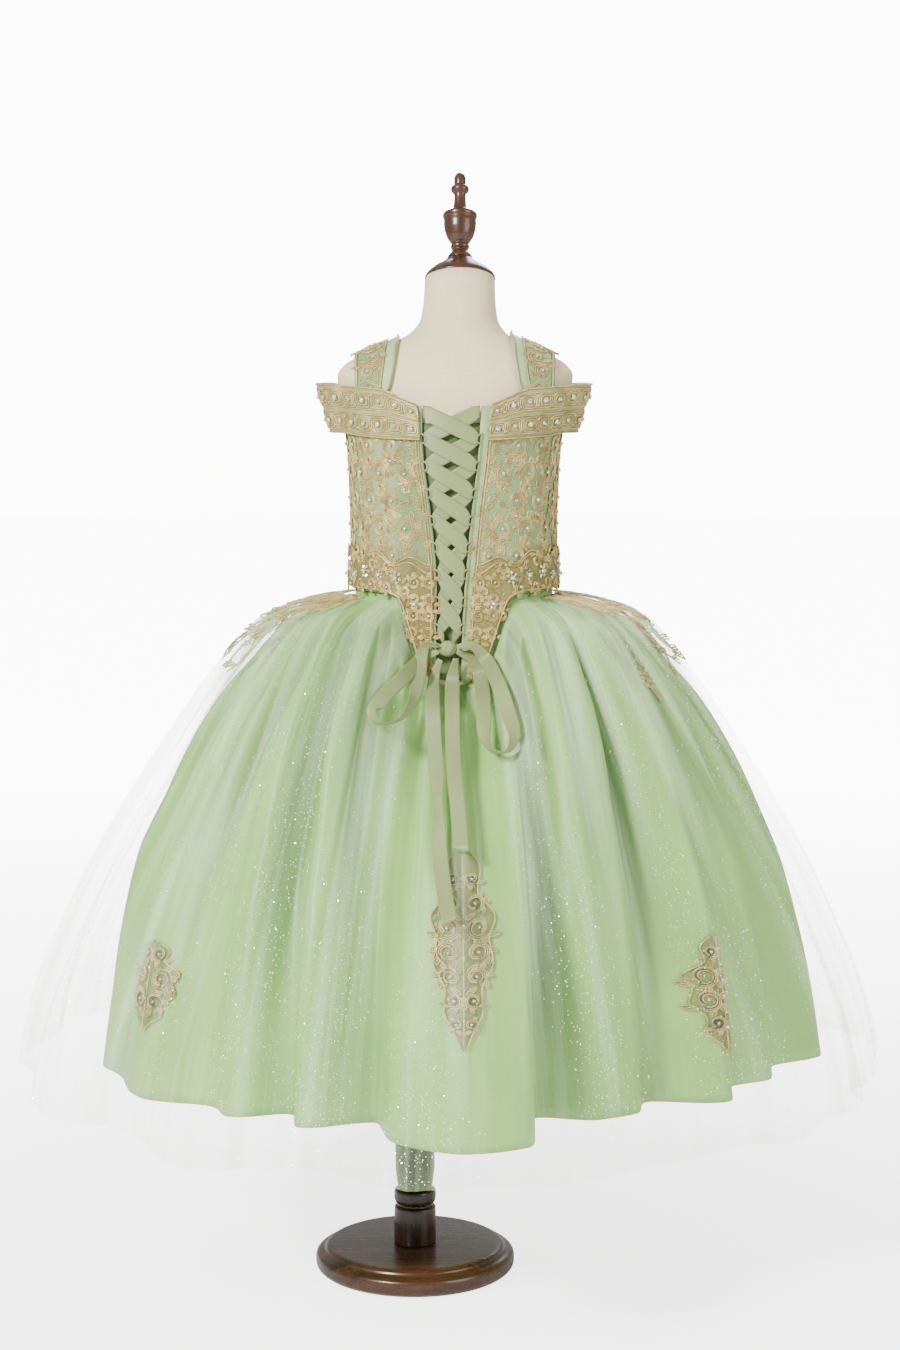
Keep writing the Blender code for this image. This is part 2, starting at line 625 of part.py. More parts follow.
def satin_grid():
    columns = fold_columns()
    grid = skirt_grid(columns, SATIN_ROWS, satin_radius, *SATIN_LAYER)
    return columns, grid


def net_columns():
    """Columns of the net: those of the satin by the points of the bodice, even ones between."""
    near, far = TULLE_SHARED
    columns = [angle for angle in fold_columns() if abs(angle) <= near or abs(angle) >= far]
    steps = round((far - near) / TULLE_STEP)
    for side in (-1, 1):
        start, end = side * near, side * far
        between = [start + (end - start) * k / steps for k in range(1, steps)]
        columns += [angle for angle in between if min(abs(angle - c) for c in columns) > 2.0]
    columns += [seam_at for seam_at in TULLE_SEAMS if seam_at not in columns]
    return sorted(columns)


def build_skirts():
    skirt_panels(SATIN_PANELS, fold_columns(), SATIN_SEAMS, SATIN_ROWS, satin_radius, SATIN_LAYER,
                 SATIN_WALL, SATIN)
    skirt_panels(TULLE_PANELS, net_columns(), TULLE_SEAMS, TULLE_ROWS, tulle_radius, TULLE_LAYER,
                 TULLE_WALL, TULLE)


def net_outside():
    """Outer face of the net, to hang the bow and its tails on."""
    grid = skirt_grid(net_columns(), TULLE_ROWS, tulle_radius, *TULLE_LAYER)
    grid = grid + TULLE_WALL * grid_normals(grid)
    mesh = grid_mesh("net_outside", grid)
    faces = [tuple(face.vertices) for face in mesh.polygons]
    points = [vertex.co.copy() for vertex in mesh.vertices]
    bpy.data.meshes.remove(mesh)
    return BVHTree.FromPolygons(points, faces)


def back_surface(net, x, height):
    """Outermost cloth round about a place of the back."""
    reach = 0.6 * RIBBON_WIDTH
    out = BODICE_CLEAR + BODICE_WALL + APPLIQUE_GAP + APPLIQUE_WALL
    nearest = form_point(form_angle(x, height), height, out)[1]
    for across, up in ((0, 0), (-reach, 0), (reach, 0), (0, -reach), (0, reach)):
        hit = net.ray_cast(Vector((x + across, -1.0, height + up)), Vector((0, 1, 0)))[0]
        if hit is not None and hit[1] < 0:
            nearest = min(nearest, hit[1])
    return nearest


# Shoulder bands and straps
def band_row(share):
    """One level of the right band: along the back, round the arm and along the front."""
    out = BODICE_CLEAR + BODICE_WALL + BAND_GAP
    knots = []
    for angle in np.linspace(BAND_START, BAND_LEAVES, 6):
        top, foot = read(BAND_TOP, angle), read(BAND_FOOT, angle)
        knots.append(form_point(angle, top + (foot - top) * share, out))
    top, foot = read(BAND_TOP, 90.0), read(BAND_FOOT, 90.0)
    for x, y in ARM_LOOP:
        reach = 1 - ARM_LOOP_TAPER / ARM_LOOP[2][0] * share
        knots.append((x * reach, y * reach, top + (foot - top) * share))
    half_gap = math.degrees(0.5 * SEAM_GAP / BAND_SEAM_RADIUS)
    for angle in np.linspace(BAND_LANDS, 180.0 - half_gap, 8):
        top, foot = read(BAND_TOP, angle), read(BAND_FOOT, angle)
        knots.append(form_point(angle, top + (foot - top) * share, out))
    return smooth_path(knots, BAND_COLUMNS)


def build_bands():
    right = np.array([band_row(share) for share in (0.0, 0.34, 0.67, 1.0)])
    left = right[:, ::-1] * np.array([-1.0, 1.0, 1.0]) + np.array([0.0085, 0.0, 0.0])
    wall("arm_band_right", right, BAND_WALL, GOLD)
    wall("arm_band_left", left, BAND_WALL, GOLD)


def shoulder_height(x, y, out):
    """Height of the form's shoulder above a point in plan, moved out from the linen."""
    low, high = STRAP_END - MM, 1.030
    for _ in range(30):
        height = 0.5 * (low + high)
        below = height - out
        width = read(FORM_SECTIONS, below, 2) + out
        depth = read(FORM_SECTIONS, below, 3) + out
        inside = ((x - read(FORM_SECTIONS, below, 1)) / width) ** 2 + (y / depth) ** 2 < 1
        if inside:
            low = height
        else:
            high = height
    return height


def strap_reach(x, height, out):
    """Distance behind the middle at which the form's back passes a height."""
    below = height - out
    width = read(FORM_SECTIONS, below, 2) + out
    depth = read(FORM_SECTIONS, below, 3) + out
    return depth * math.sqrt(1 - ((x - read(FORM_SECTIONS, below, 1)) / width) ** 2)


def build_straps():
    """Straps from the back of the band over the shoulders to its front."""
    for name, side in (("strap_left", -1), ("strap_right", 1)):
        middle = read(FORM_SECTIONS, STRAP_END, 1)
        grid = []
        for t in np.linspace(-1.0, 1.0, 13):
            line = []
            for share in np.linspace(0.0, 1.0, 4):
                foot = STRAP_FOOT[0] + (STRAP_FOOT[1] - STRAP_FOOT[0]) * share
                crest = STRAP_CREST[0] + (STRAP_CREST[1] - STRAP_CREST[0]) * share
                x = middle + side * (crest + (foot - crest) * t * t)
                y = strap_reach(x, STRAP_END, STRAP_CLEAR) * math.sin(0.5 * math.pi * t)
                line.append((x, y, shoulder_height(x, y, STRAP_CLEAR)))
            grid.append(line if side < 0 else line[::-1])
        wall(name, grid, STRAP_WALL, SATIN)


# Laces
def lace_tip(row, side):
    height = LACE_TOP - row * LACE_SPACING
    x = read(OPENING, height, 1) + side * (read(OPENING, height, 2) - LACE_TIP_INSET)
    return x, height


def lace_grid(first_side):
    """One lace that zigzags down the opening. Runs that fall to the right lie on top."""
    upper, lower = [], []

    def add(x, height, out, span):
        across = (x - read(OPENING, height, 1)) / read(OPENING, height, 2)
        for edge, place in ((upper, height + 0.5 * span), (lower, height - 0.5 * span)):
            place_x = read(OPENING, place, 1) + across * read(OPENING, place, 2)
            edge.append(form_point(form_angle(place_x, place, out), place, out))

    side = first_side
    for row in range(LACE_ROWS):
        x, height = lace_tip(row, side)
        next_x, next_height = lace_tip(row + 1, -side)
        out = LACE_OVER if side < 0 else LACE_UNDER
        slope = (next_height - height) / (next_x - x)
        widest = LACE_WIDEST * LACE_SPACING
        span = min(LACE_STRETCH * RIBBON_WIDTH * math.hypot(1.0, slope), widest)
        for share in LACE_SHARES:
            add(x + (next_x - x) * share, height + (next_height - height) * share, out, span)
        add(next_x - side * LACE_TURN, next_height, 0.5 * (LACE_OVER + LACE_UNDER), span)
        side = -side
    x, height = lace_tip(LACE_ROWS, side)
    out = LACE_OVER if side < 0 else LACE_UNDER
    end = KNOT[0] + side * KNOT_REACH
    for share in LAST_SHARES:
        add(x + (end - x) * share, height - LAST_DROP * share, out, LAST_SPAN * LACE_SPACING)
    return np.array([upper, lower])


def build_laces():
    for name, side in (("lace_left", -1), ("lace_right", 1)):
        grid = lace_grid(side)
        if side > 0:
            grid = grid[:, ::-1]
        piece = wall(name, grid, RIBBON_WALL, RIBBON)
        piece.modifiers["cloth"].offset = 0.0


def build_lace_loops():
    """Rouleau cord down each edge of the opening, waved towards the tips of the laces."""
    for name, side in (("lace_loops_left", -1), ("lace_loops_right", 1)):
        points = []
        for step in range(3, 2 * LACE_ROWS + 1):
            height = LACE_TOP - 0.5 * step * LACE_SPACING
            at_tip = 1 - step % 2
            middle, half = read(OPENING, height, 1), read(OPENING, height, 2)
            x = middle + side * (half + LOOP_CORD_RADIUS + LOOP_BACK - LOOP_WAVE * at_tip)
            out = BODICE_CLEAR + BODICE_WALL + LOOP_CORD_RADIUS + LOOP_CLEAR
            points.append(form_point(form_angle(x, height, out), height, out))
        tube(name, points, LOOP_CORD_RADIUS, RIBBON)


# Bow and tails
def ribbon_path(net, rows, steps):
    """Rows of a ribbon that lies over the cloth and spans its small hollows."""
    path = smooth_path([(x, height, lift, lean) for x, height, lift, lean in rows], steps)
    reach = np.array([back_surface(net, x, height) - lift for x, height, lift, _ in path])
    spanned = reach.copy()
    for i in range(1, len(reach) - 1):
        spanned[i] = min(reach[i], 0.5 * (reach[i - 1] + reach[i + 1]))
    centres = np.stack([path[:, 0], spanned, path[:, 1]], axis=1)
    return centres, path[:, 3]


def strip(name, net, rows, width, steps):
    """Ribbon along rows of x, height, lift and lean, face on to the back of the gown."""
    centres, leans = ribbon_path(net, rows, steps)
    tangents = np.gradient(centres, axis=0)
    outward = np.array([0.0, -1.0, 0.0])
    half = []
    for tangent, lean in zip(tangents, leans):
        tangent = tangent / np.linalg.norm(tangent)
        flat = np.cross(tangent, outward)
        flat = flat / np.linalg.norm(flat)
        raised = np.cross(flat, tangent)
        turn = math.radians(lean)
        half.append(0.5 * width * (flat * math.cos(turn) - raised * math.sin(turn)))
    half = np.array(half)
    piece = wall(name, np.array([centres - half, centres + half]), RIBBON_WALL, RIBBON)
    piece.modifiers["cloth"].offset = 0.0


def build_bow():
    mesh = bpy.data.meshes.new("bow_knot")
    shape = bmesh.new()
    bmesh.ops.create_uvsphere(shape, u_segments=12, v_segments=8, radius=1.0)
    shape.to_mesh(mesh)
    shape.free()
    mesh.transform(Matrix.Diagonal((*KNOT_SIZE, 1.0)))
    piece = add_object("bow_knot", mesh, RIBBON)
    piece.location = form_point(form_angle(*KNOT), KNOT[1], KNOT_OUT)
    net = net_outside()
    strip("bow_loop_left", net, LOOP_LEFT, RIBBON_WIDTH, 24)
    strip("bow_loop_right", net, LOOP_RIGHT, RIBBON_WIDTH, 26)
    strip("tail_long", net, TAIL_LONG, RIBBON_WIDTH, 22)
    strip("tail_short", net, TAIL_SHORT, RIBBON_WIDTH, 16)


# Appliques
def turned_by(angle, start):
    """Turn from one angle to another, between -180 and 180 degrees."""
    return (angle - start + 180.0) % 360.0 - 180.0


def patch_turns(reach, sides):
    """Columns of a motif at one level: its edges, its middle and each fold that it crosses."""
    turns = [0.0]
    for sign, kinks in zip((-1, 1), sides):
        for k, kink in enumerate(sorted(kinks)):
            nearest_edge = reach * (1 - EDGE_STEP * (len(kinks) - k))
            turns.append(sign * min(kink, nearest_edge))
        turns.append(sign * reach)
    return sorted(turns)


def satin_patch(columns, grid, normals, centre, top, foot, half_width, outline):
    """Motif on the satin: points between those of the skirt, moved out."""
    down_of_row = np.array((TUCK_SHARE,) + SATIN_ROWS)
    out = SATIN_WALL + MOTIF_GAP
    patch = []
    middle = float(np.interp(centre, columns, np.arange(len(columns))))
    levels = np.linspace(top, foot, MOTIF_ROWS)
    rows = [float(np.interp(down, down_of_row, np.arange(len(down_of_row)))) for down in levels]
    reaches = []
    for t, row in zip(np.linspace(0.0, 1.0, MOTIF_ROWS), rows):
        radius = float(np.linalg.norm(sample(grid, row, middle)[:2]))
        reaches.append(math.degrees(half_width * read(outline, t) / radius))
    kinks = [abs(turned_by(angle, centre)) for angle in columns[:-1]]
    sides = [[k for k, angle in zip(kinks, columns[:-1])
              if FOLD_APART < k < max(reaches) and (turned_by(angle, centre) > 0) == (side > 0)]
             for side in (-1, 1)]
    for reach, row in zip(reaches, rows):
        line = []
        for turn in patch_turns(reach, sides):
            angle = turned_by(centre + turn, 0.0)
            column = float(np.interp(angle, columns, np.arange(len(columns))))
            line.append(sample(grid, row, column) + out * sample(normals, row, column))
        patch.append(line)
    return patch


def build_motifs():
    columns, grid = satin_grid()
    normals = grid_normals(grid)
    for rows, outline in ((MOTIFS, MOTIF_OUTLINE), (SPRAYS, SPRAY_OUTLINE)):
        for name, centre, top, foot, half_width in rows:
            patch = satin_patch(columns, grid, normals, centre, top, foot, half_width, outline)
            wall(name, patch, APPLIQUE_WALL, GOLD)


def build_waist_appliques():
    """Scalloped gold applique round the waist, down to the points of the bodice."""
    out = BODICE_CLEAR + BODICE_WALL + APPLIQUE_GAP
    pieces = (
        ("waist_applique_front_left", -179.85, -90.1), ("waist_applique_back_left", -89.9, None),
        ("waist_applique_back_right", None, 89.9), ("waist_applique_front_right", 90.1, 179.85),
    )
    for name, start, end in pieces:
        grid = []
        for i in range(WAIST_ROWS):
            line = []
            for j in range(WAIST_COLUMNS):
                share = j / (WAIST_COLUMNS - 1)
                height = WAIST_MIDDLE
                for _ in range(4):
                    left = opening_edge(height, 1) + WAIST_FROM_RIGHT if start is None else start
                    right = opening_edge(height, -1) + WAIST_FROM_LEFT if end is None else end
                    angle = left * (1 - share) + right * share
                    foot = read(WAIST_LINE, abs(angle)) + WAIST_LIFT
                    top = read(WAIST_SCALLOPS, abs(angle))
                    height = top + (foot - top) * i / (WAIST_ROWS - 1)
                line.append(form_point(angle, height, out))
            grid.append(line)
        wall(name, grid, APPLIQUE_WALL, GOLD)


build_stand()
build_torso()
build_neck_cap()
build_bodice()
build_placket()
build_skirts()
build_bands()
build_straps()
build_laces()
build_lace_loops()
build_bow()
build_motifs()
build_waist_appliques()
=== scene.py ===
# %% [markdown]
# # A child's embroidered ball gown on a dress form
#
# The gown is seen from the back: a laced bodice under a V point, a ribbon bow, a folded satin
# skirt and a glittered net over it. The form is linen on a turned wooden stand. Each step makes
# one piece, says what it is on the real gown, and why it is made that way.

# %% Load the solids
import math

import bmesh
import bpy
import numpy as np
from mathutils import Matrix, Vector
from mathutils.bvhtree import BVHTree


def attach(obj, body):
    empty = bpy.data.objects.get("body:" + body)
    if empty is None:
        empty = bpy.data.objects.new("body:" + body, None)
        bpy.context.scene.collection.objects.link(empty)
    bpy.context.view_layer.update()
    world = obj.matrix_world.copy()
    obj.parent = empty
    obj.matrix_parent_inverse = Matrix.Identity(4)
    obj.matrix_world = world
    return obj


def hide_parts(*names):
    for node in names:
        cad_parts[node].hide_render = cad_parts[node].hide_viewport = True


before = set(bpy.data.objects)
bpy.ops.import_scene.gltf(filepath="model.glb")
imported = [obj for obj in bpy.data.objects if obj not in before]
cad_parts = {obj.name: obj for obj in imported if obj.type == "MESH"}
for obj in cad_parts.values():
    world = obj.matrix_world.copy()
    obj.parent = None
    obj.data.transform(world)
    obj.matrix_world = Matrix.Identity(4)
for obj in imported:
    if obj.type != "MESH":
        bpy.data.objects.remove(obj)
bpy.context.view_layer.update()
MM = 0.001
rng = np.random.default_rng(11)
print("solids:", len(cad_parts))

# %% [markdown]
# ## The camera
# A long lens from just under three metres keeps the skirt's hem nearly level while the eye still
# looks a little down on the stand. The lens follows from the picture's height in pixels.

# %% Camera
def add_object(name, data):
    made = bpy.data.objects.new(name, data)
    bpy.context.collection.objects.link(made)
    return made


PICTURE_HEIGHT_PX = 1350
FOCAL_PX = 2700
CAMERA_PLACE = (0.0, -2.85, 0.99)
CAMERA_PITCH = 6.82
SENSOR_MM, FARTHEST = 36.0, 60.0
camera_data = bpy.data.cameras.new("photo_camera")
camera_data.sensor_width = SENSOR_MM
camera_data.lens = camera_data.sensor_width * FOCAL_PX / PICTURE_HEIGHT_PX
camera_data.clip_end = FARTHEST
camera = add_object("photo_camera", camera_data)
camera.location = CAMERA_PLACE
camera.rotation_euler = (math.radians(90 - CAMERA_PITCH), 0, 0)
bpy.context.scene.camera = camera
print("lens in mm:", round(camera_data.lens, 1))

# %% [markdown]
# ## Smooth curves through short tables
# A tailor's block is a few measures. A monotone cubic through them never swings past a measure,
# so a waist stays as small as it was measured. Here it reads many places at once.


# %% Reading tables
def slopes(knots, values):
    steps = np.diff(knots)
    chords = np.diff(values) / steps
    result = np.zeros(len(knots))
    result[0], result[-1] = chords[0], chords[-1]
    for i in range(1, len(knots) - 1):
        if chords[i - 1] * chords[i] > 0:
            weight_a = 2 * steps[i] + steps[i - 1]
            weight_b = steps[i] + 2 * steps[i - 1]
            result[i] = (weight_a + weight_b) / (weight_a / chords[i - 1] + weight_b / chords[i])
    return result


def read(table, place, column=1):
    """Values of one column at places between the rows."""
    knots = np.array([row[0] for row in table], float)
    values = np.array([row[column] for row in table], float)
    place = np.clip(np.asarray(place, float), knots[0], knots[-1])
    i = np.clip(np.searchsorted(knots, place, side="right") - 1, 0, len(knots) - 2)
    step = knots[i + 1] - knots[i]
    t = (place - knots[i]) / step
    slope = slopes(knots, values)
    return ((1 + 2 * t) * (1 - t) ** 2 * values[i] + t * (1 - t) ** 2 * step * slope[i]
            + t * t * (3 - 2 * t) * values[i + 1] + t * t * (t - 1) * step * slope[i + 1])


def smooth_path(points, count):
    """Even points along a smooth curve through a few points, measured by the first columns."""
    points = np.array(points, float)
    strides = np.linalg.norm(np.diff(points[:, :3], axis=0), axis=1)
    lengths = np.concatenate([[0.0], np.cumsum(strides)])
    tangents = np.gradient(points, lengths, axis=0)
    place = np.linspace(0, lengths[-1], count)
    i = np.clip(np.searchsorted(lengths, place, side="right") - 1, 0, len(lengths) - 2)
    step = (lengths[i + 1] - lengths[i])[:, None]
    t = (place - lengths[i])[:, None] / step
    return ((1 + 2 * t) * (1 - t) ** 2 * points[i] + t * (1 - t) ** 2 * step * tangents[i]
            + t * t * (3 - 2 * t) * points[i + 1] + t * t * (t - 1) * step * tangents[i + 1])


# %% [markdown]
# ## The form's measures
# Heights run from the underside of the base. Angles are degrees from the middle of the back and
# grow towards the photo's right. Each cloth layer lies at its own distance from the linen.

# %% Measures of the form and the gown
FORM_SECTIONS = (
    (0.600, 0.0010, 0.0960, 0.0815), (0.640, 0.0025, 0.1025, 0.0872),
    (0.700, 0.0035, 0.1030, 0.0874), (0.745, 0.0040, 0.1014, 0.0855),
    (0.800, 0.0040, 0.1010, 0.0850), (0.860, 0.0040, 0.1025, 0.0870),
    (0.905, 0.0042, 0.1060, 0.0860), (0.930, 0.0045, 0.1130, 0.0790),
    (0.950, 0.0050, 0.1225, 0.0700), (0.966, 0.0055, 0.1235, 0.0620),
    (0.978, 0.0058, 0.1150, 0.0550), (0.990, 0.0065, 0.0920, 0.0490),
    (1.000, 0.0075, 0.0680, 0.0440), (1.010, 0.0085, 0.0500, 0.0400),
    (1.024, 0.0095, 0.0405, 0.0375), (1.045, 0.0100, 0.0375, 0.0362),
    (1.075, 0.0105, 0.0362, 0.0355),
)
TORSO_FLOOR, NECK_TOP, NECK_X, NECK_TILT = 0.600, 1.0648, 0.0105, math.radians(18.5)
STAND_X = -0.038
WAIST_LINE = (
    (0.0, 0.650), (12.0, 0.656), (32.0, 0.738), (42.0, 0.743), (90.0, 0.744),
    (138.0, 0.742), (156.0, 0.726), (170.0, 0.703), (180.0, 0.702),
)
NECK_LINE = (
    (0.0, 0.934), (18.0, 0.936), (34.0, 0.948), (58.0, 0.948), (76.0, 0.925), (90.0, 0.914),
    (106.0, 0.922), (124.0, 0.944), (150.0, 0.944), (180.0, 0.928),
)
OPENING = (
    (0.640, -0.0010, 0.0125), (0.700, -0.0008, 0.0130), (0.740, 0.0006, 0.0136),
    (0.782, 0.0016, 0.0162), (0.835, 0.0012, 0.0216), (0.887, 0.0010, 0.0278),
    (0.940, 0.0016, 0.0306),
)
BODICE_OUT, LACING_OUT = 7.0 * MM, 5.2 * MM


def form(angle, height, out=0.0):
    """Points on the form, or at a distance out from it."""
    turn = np.radians(angle)
    height = np.asarray(height, float)
    x = read(FORM_SECTIONS, height, 1) + (read(FORM_SECTIONS, height, 2) + out) * np.sin(turn)
    y = -(read(FORM_SECTIONS, height, 3) + out) * np.cos(turn)
    return np.stack(np.broadcast_arrays(x, y, height), axis=-1)


def form_angle(x, height, out=LACING_OUT):
    """Angle round the form of a place seen from straight behind."""
    reach = (x - read(FORM_SECTIONS, height, 1)) / (read(FORM_SECTIONS, height, 2) + out)
    return np.degrees(np.arcsin(np.clip(reach, -1, 1)))


def opening_x(height, side):
    return read(OPENING, height, 1) + side * read(OPENING, height, 2)


# %% [markdown]
# ## Shader maths as plain expressions
# A wire stands for a socket. Adding or multiplying wires adds the nodes, so a weave reads like a
# formula. Every other node comes from one method: its type, its settings, then its sockets.


# %% Shader helpers
class Wire:
    """One socket of a shader, with arithmetic that adds Math nodes."""

    def __init__(self, paint, socket):
        self.paint, self.socket = paint, socket

    def math(self, operation, *values):
        return self.paint.node("Math", {"operation": operation}, dict(enumerate(values)))

    def __add__(self, other):
        return self.math("ADD", self, other)

    def __sub__(self, other):
        return self.math("SUBTRACT", self, other)

    def __mul__(self, other):
        return self.math("MULTIPLY", self, other)

    def __truediv__(self, other):
        return self.math("DIVIDE", self, other)

    def sine(self):
        return self.math("SINE", self)

    def fraction(self):
        return self.math("FRACT", self)

    def size(self):
        return self.math("ABSOLUTE", self)

    def between(self, low, high, to_low=0.0, to_high=1.0):
        return self.paint.node("MapRange", {"clamp": True}, {
            "Value": self, "From Min": low, "From Max": high, "To Min": to_low, "To Max": to_high})


def srgb(red, green, blue):
    """Linear colour of one seen by eye in 0 to 255."""
    parts = [c / 255 for c in (red, green, blue)]
    parts = [c / 12.92 if c <= 0.04045 else ((c + 0.055) / 1.055) ** 2.4 for c in parts]
    return (*parts, 1.0)


class Paint:
    """A material around one Principled shader."""

    def __init__(self, name, **plain):
        self.material = bpy.data.materials.new(name)
        self.material.use_nodes = True
        self.tree = self.material.node_tree
        self.shader = self.tree.nodes["Principled BSDF"]
        for socket, value in plain.items():
            self.shader.inputs[socket.replace("_", " ")].default_value = value

    def node(self, kind, settings=None, sockets=None, output=0):
        made = self.tree.nodes.new("ShaderNode" + kind)
        for key, value in (settings or {}).items():
            if key == "stops":
                ramp = made.color_ramp.elements
                ramp[0].position, ramp[0].color = value[0]
                ramp[1].position, ramp[1].color = value[-1]
                for place, colour in value[1:-1]:
                    ramp.new(place).color = colour
            else:
                setattr(made, key, value)
        for key, value in (sockets or {}).items():
            self.feed(made.inputs[key], value)
        return Wire(self, made.outputs[output])

    def feed(self, socket, value):
        if isinstance(value, Wire):
            self.tree.links.new(value.socket, socket)
        else:
            socket.default_value = value

    def set(self, **sockets):
        for name, value in sockets.items():
            self.feed(self.shader.inputs[name.replace("_", " ")], value)

    def place(self, source="UV"):
        return self.node("TexCoord", output={"UV": 2, "Object": 3}[source])

    def stretched(self, place, scale, turn=0.0):
        return self.node("Mapping", None, {"Vector": place, "Scale": scale,
                                           "Rotation": (0, 0, math.radians(turn))})

    def parts(self, place):
        split = self.node("SeparateXYZ", None, {0: place})
        return [Wire(self, split.socket.node.outputs[k]) for k in range(3)]

    def noise(self, place, scale, detail=3.0, roughness=0.55, distortion=0.0):
        return self.node("TexNoise", None, {"Vector": place, "Scale": scale, "Detail": detail,
                                            "Roughness": roughness, "Distortion": distortion})

    def mix(self, amount, low, high):
        return self.node("Mix", {"data_type": "RGBA"}, {0: amount, 6: low, 7: high}, output=2)

    def bump(self, height, strength, distance):
        return self.node("Bump", None, {"Strength": strength, "Distance": distance,
                                        "Height": height})


# %% [markdown]
# ## The wood
# The stand is dark stained walnut under a glossy varnish. Its grain runs along each turning, so
# noise is drawn out along the height, and finer streaks give the pores.


# %% Walnut
def make_walnut(name, along):
    paint = Paint(name, Roughness=0.34, Coat_Weight=0.30, Coat_Roughness=0.18,
                  Specular_IOR_Level=0.35)
    scale = [34.0, 34.0, 34.0]
    scale[along] = 2.6
    place = paint.stretched(paint.place("Object"), scale)
    grain = paint.noise(place, 1.0, 6.0, 0.62, 0.8)
    pores = paint.noise(place, 9.0, 3.0, 0.7)
    dark, light = srgb(24, 13, 7), srgb(84, 50, 29)
    colour = paint.mix(grain.between(0.32, 0.70), dark, light)
    colour = paint.mix(pores.between(0.55, 0.75, 0.0, 0.6), colour, srgb(18, 12, 8))
    paint.set(Base_Color=colour, Roughness=pores.between(0.3, 0.8, 0.24, 0.42),
              Normal=paint.bump(pores, 0.25, 0.3 * MM))
    return paint.material


WALNUT_TURNED = make_walnut("walnut_turned", 2)
WALNUT_BASE = make_walnut("walnut_base", 0)

# %% [markdown]
# ## Woven cloths
# Linen is a plain weave with slubs, satin is smooth with a fine twill of threads, and the ribbon
# has a fine rib across it. Each reads the piece's own UV map, which holds metres of cloth.


# %% Linen, satin and ribbon
LINEN_PITCH, SATIN_PITCH, STITCH_PITCH = 1.1 * MM, 0.55 * MM, 1.3 * MM


def threads(along, pitch):
    """Wave with one crest for every pitch of cloth."""
    return (along * (2 * math.pi / pitch)).sine()


def make_linen():
    paint = Paint("linen_cover", Roughness=0.88, Sheen_Weight=0.25, Sheen_Roughness=0.5)
    place = paint.place()
    across, down, _ = paint.parts(place)
    weave = threads(across, LINEN_PITCH) * threads(down, LINEN_PITCH) * 0.5 + 0.5
    slubs = paint.noise(paint.stretched(place, (40, 900, 1)), 1.0, 2.0)
    slubs_up = paint.noise(paint.stretched(place, (900, 40, 1)), 1.0, 2.0)
    soft = paint.noise(place, 9.0, 3.0)
    colour = paint.mix(soft.between(0.3, 0.7), srgb(228, 208, 164), srgb(238, 219, 178))
    colour = paint.mix(slubs.between(0.52, 0.70, 0.0, 0.5), colour, srgb(208, 186, 144))
    colour = paint.mix(slubs_up.between(0.55, 0.70, 0.0, 0.4), colour, srgb(244, 230, 196))
    height = weave + slubs * 0.8 + slubs_up * 0.8
    paint.set(Base_Color=colour, Normal=paint.bump(height, 0.55, 0.4 * MM))
    return paint.material


def make_satin(name, low, high, roughness=0.36, valley=None):
    """Satin between two tones. Where the mesh marks creases, a darker colour is mixed in as painted
    shade.
    """
    paint = Paint(name, Sheen_Weight=0.15, Sheen_Roughness=0.35)
    place = paint.place()
    rib = threads(paint.parts(place)[1], SATIN_PITCH)
    cloud = paint.noise(place, 7.0, 3.0)
    creases = paint.noise(paint.stretched(place, (70, 16, 1), 12.0), 1.0, 4.0, 0.6, 0.6)
    colour = paint.mix(cloud.between(0.3, 0.7), low, high)
    if valley:
        # Painted shade: the darker colour is mixed in where the mesh marks creases and inner folds.
        depth = paint.node("Attribute", {"attribute_name": "valley"}, output=2)
        colour = paint.mix(depth.between(0.0, 1.0, 0.0, 0.9), colour, valley)
    shine = cloud.between(0.3, 0.7, roughness - 0.05, roughness + 0.07)
    paint.set(Base_Color=colour, Roughness=shine,
              Normal=paint.bump(creases + rib * 0.05, 0.30, 1.4 * MM))
    return paint.material


LINEN = make_linen()
# The skirt satin's darkest colour is painted shade for its creases and inner folds.
SATIN = make_satin("sage_satin", srgb(130, 180, 82), srgb(146, 191, 98), valley=srgb(76, 116, 48))
BODICE_SATIN = make_satin("sage_bodice_satin", srgb(142, 174, 118), srgb(158, 188, 134), 0.40)
RIBBON = make_satin("sage_ribbon", srgb(121, 134, 82), srgb(136, 148, 95), 0.42)
# The placket's dark satin colours are painted shade for the gap behind the laces.
PAINTED_SHADE_SATIN = make_satin("placket_satin", srgb(70, 88, 42), srgb(88, 106, 54), 0.55)
print("cloth finishes ready")

# %% [markdown]
# ## Gold embroidery
# The gold is couched cord, with rows of stitches between the scrolls, so green shows through in
# small windows. Under the scrolls lies a dark underlay, painted shade for the shadow between the
# cords. The cords are real pieces. For the stitches, Voronoi cells give each whorl a centre, and
# the turn around that centre plus the distance from it draws a spiral line. The same mask lifts
# the thread and colours it.


# %% Gold finishes
def make_gold_cord(name, low, pale, warm):
    paint = Paint(name, Metallic=0.30, Roughness=0.40)
    place = paint.place("Object")
    twist = paint.noise(place, 900.0, 1.0)
    tone = paint.noise(place, 70.0, 2.0)
    blush = paint.noise(place, 22.0, 2.0)
    high = paint.mix(blush.between(0.4, 0.6), pale, warm)
    paint.set(Base_Color=paint.mix(tone.between(0.34, 0.62), low, high),
              Roughness=twist.between(0.3, 0.7, 0.32, 0.5),
              Normal=paint.bump(twist, 0.35, 0.2 * MM))
    return paint.material


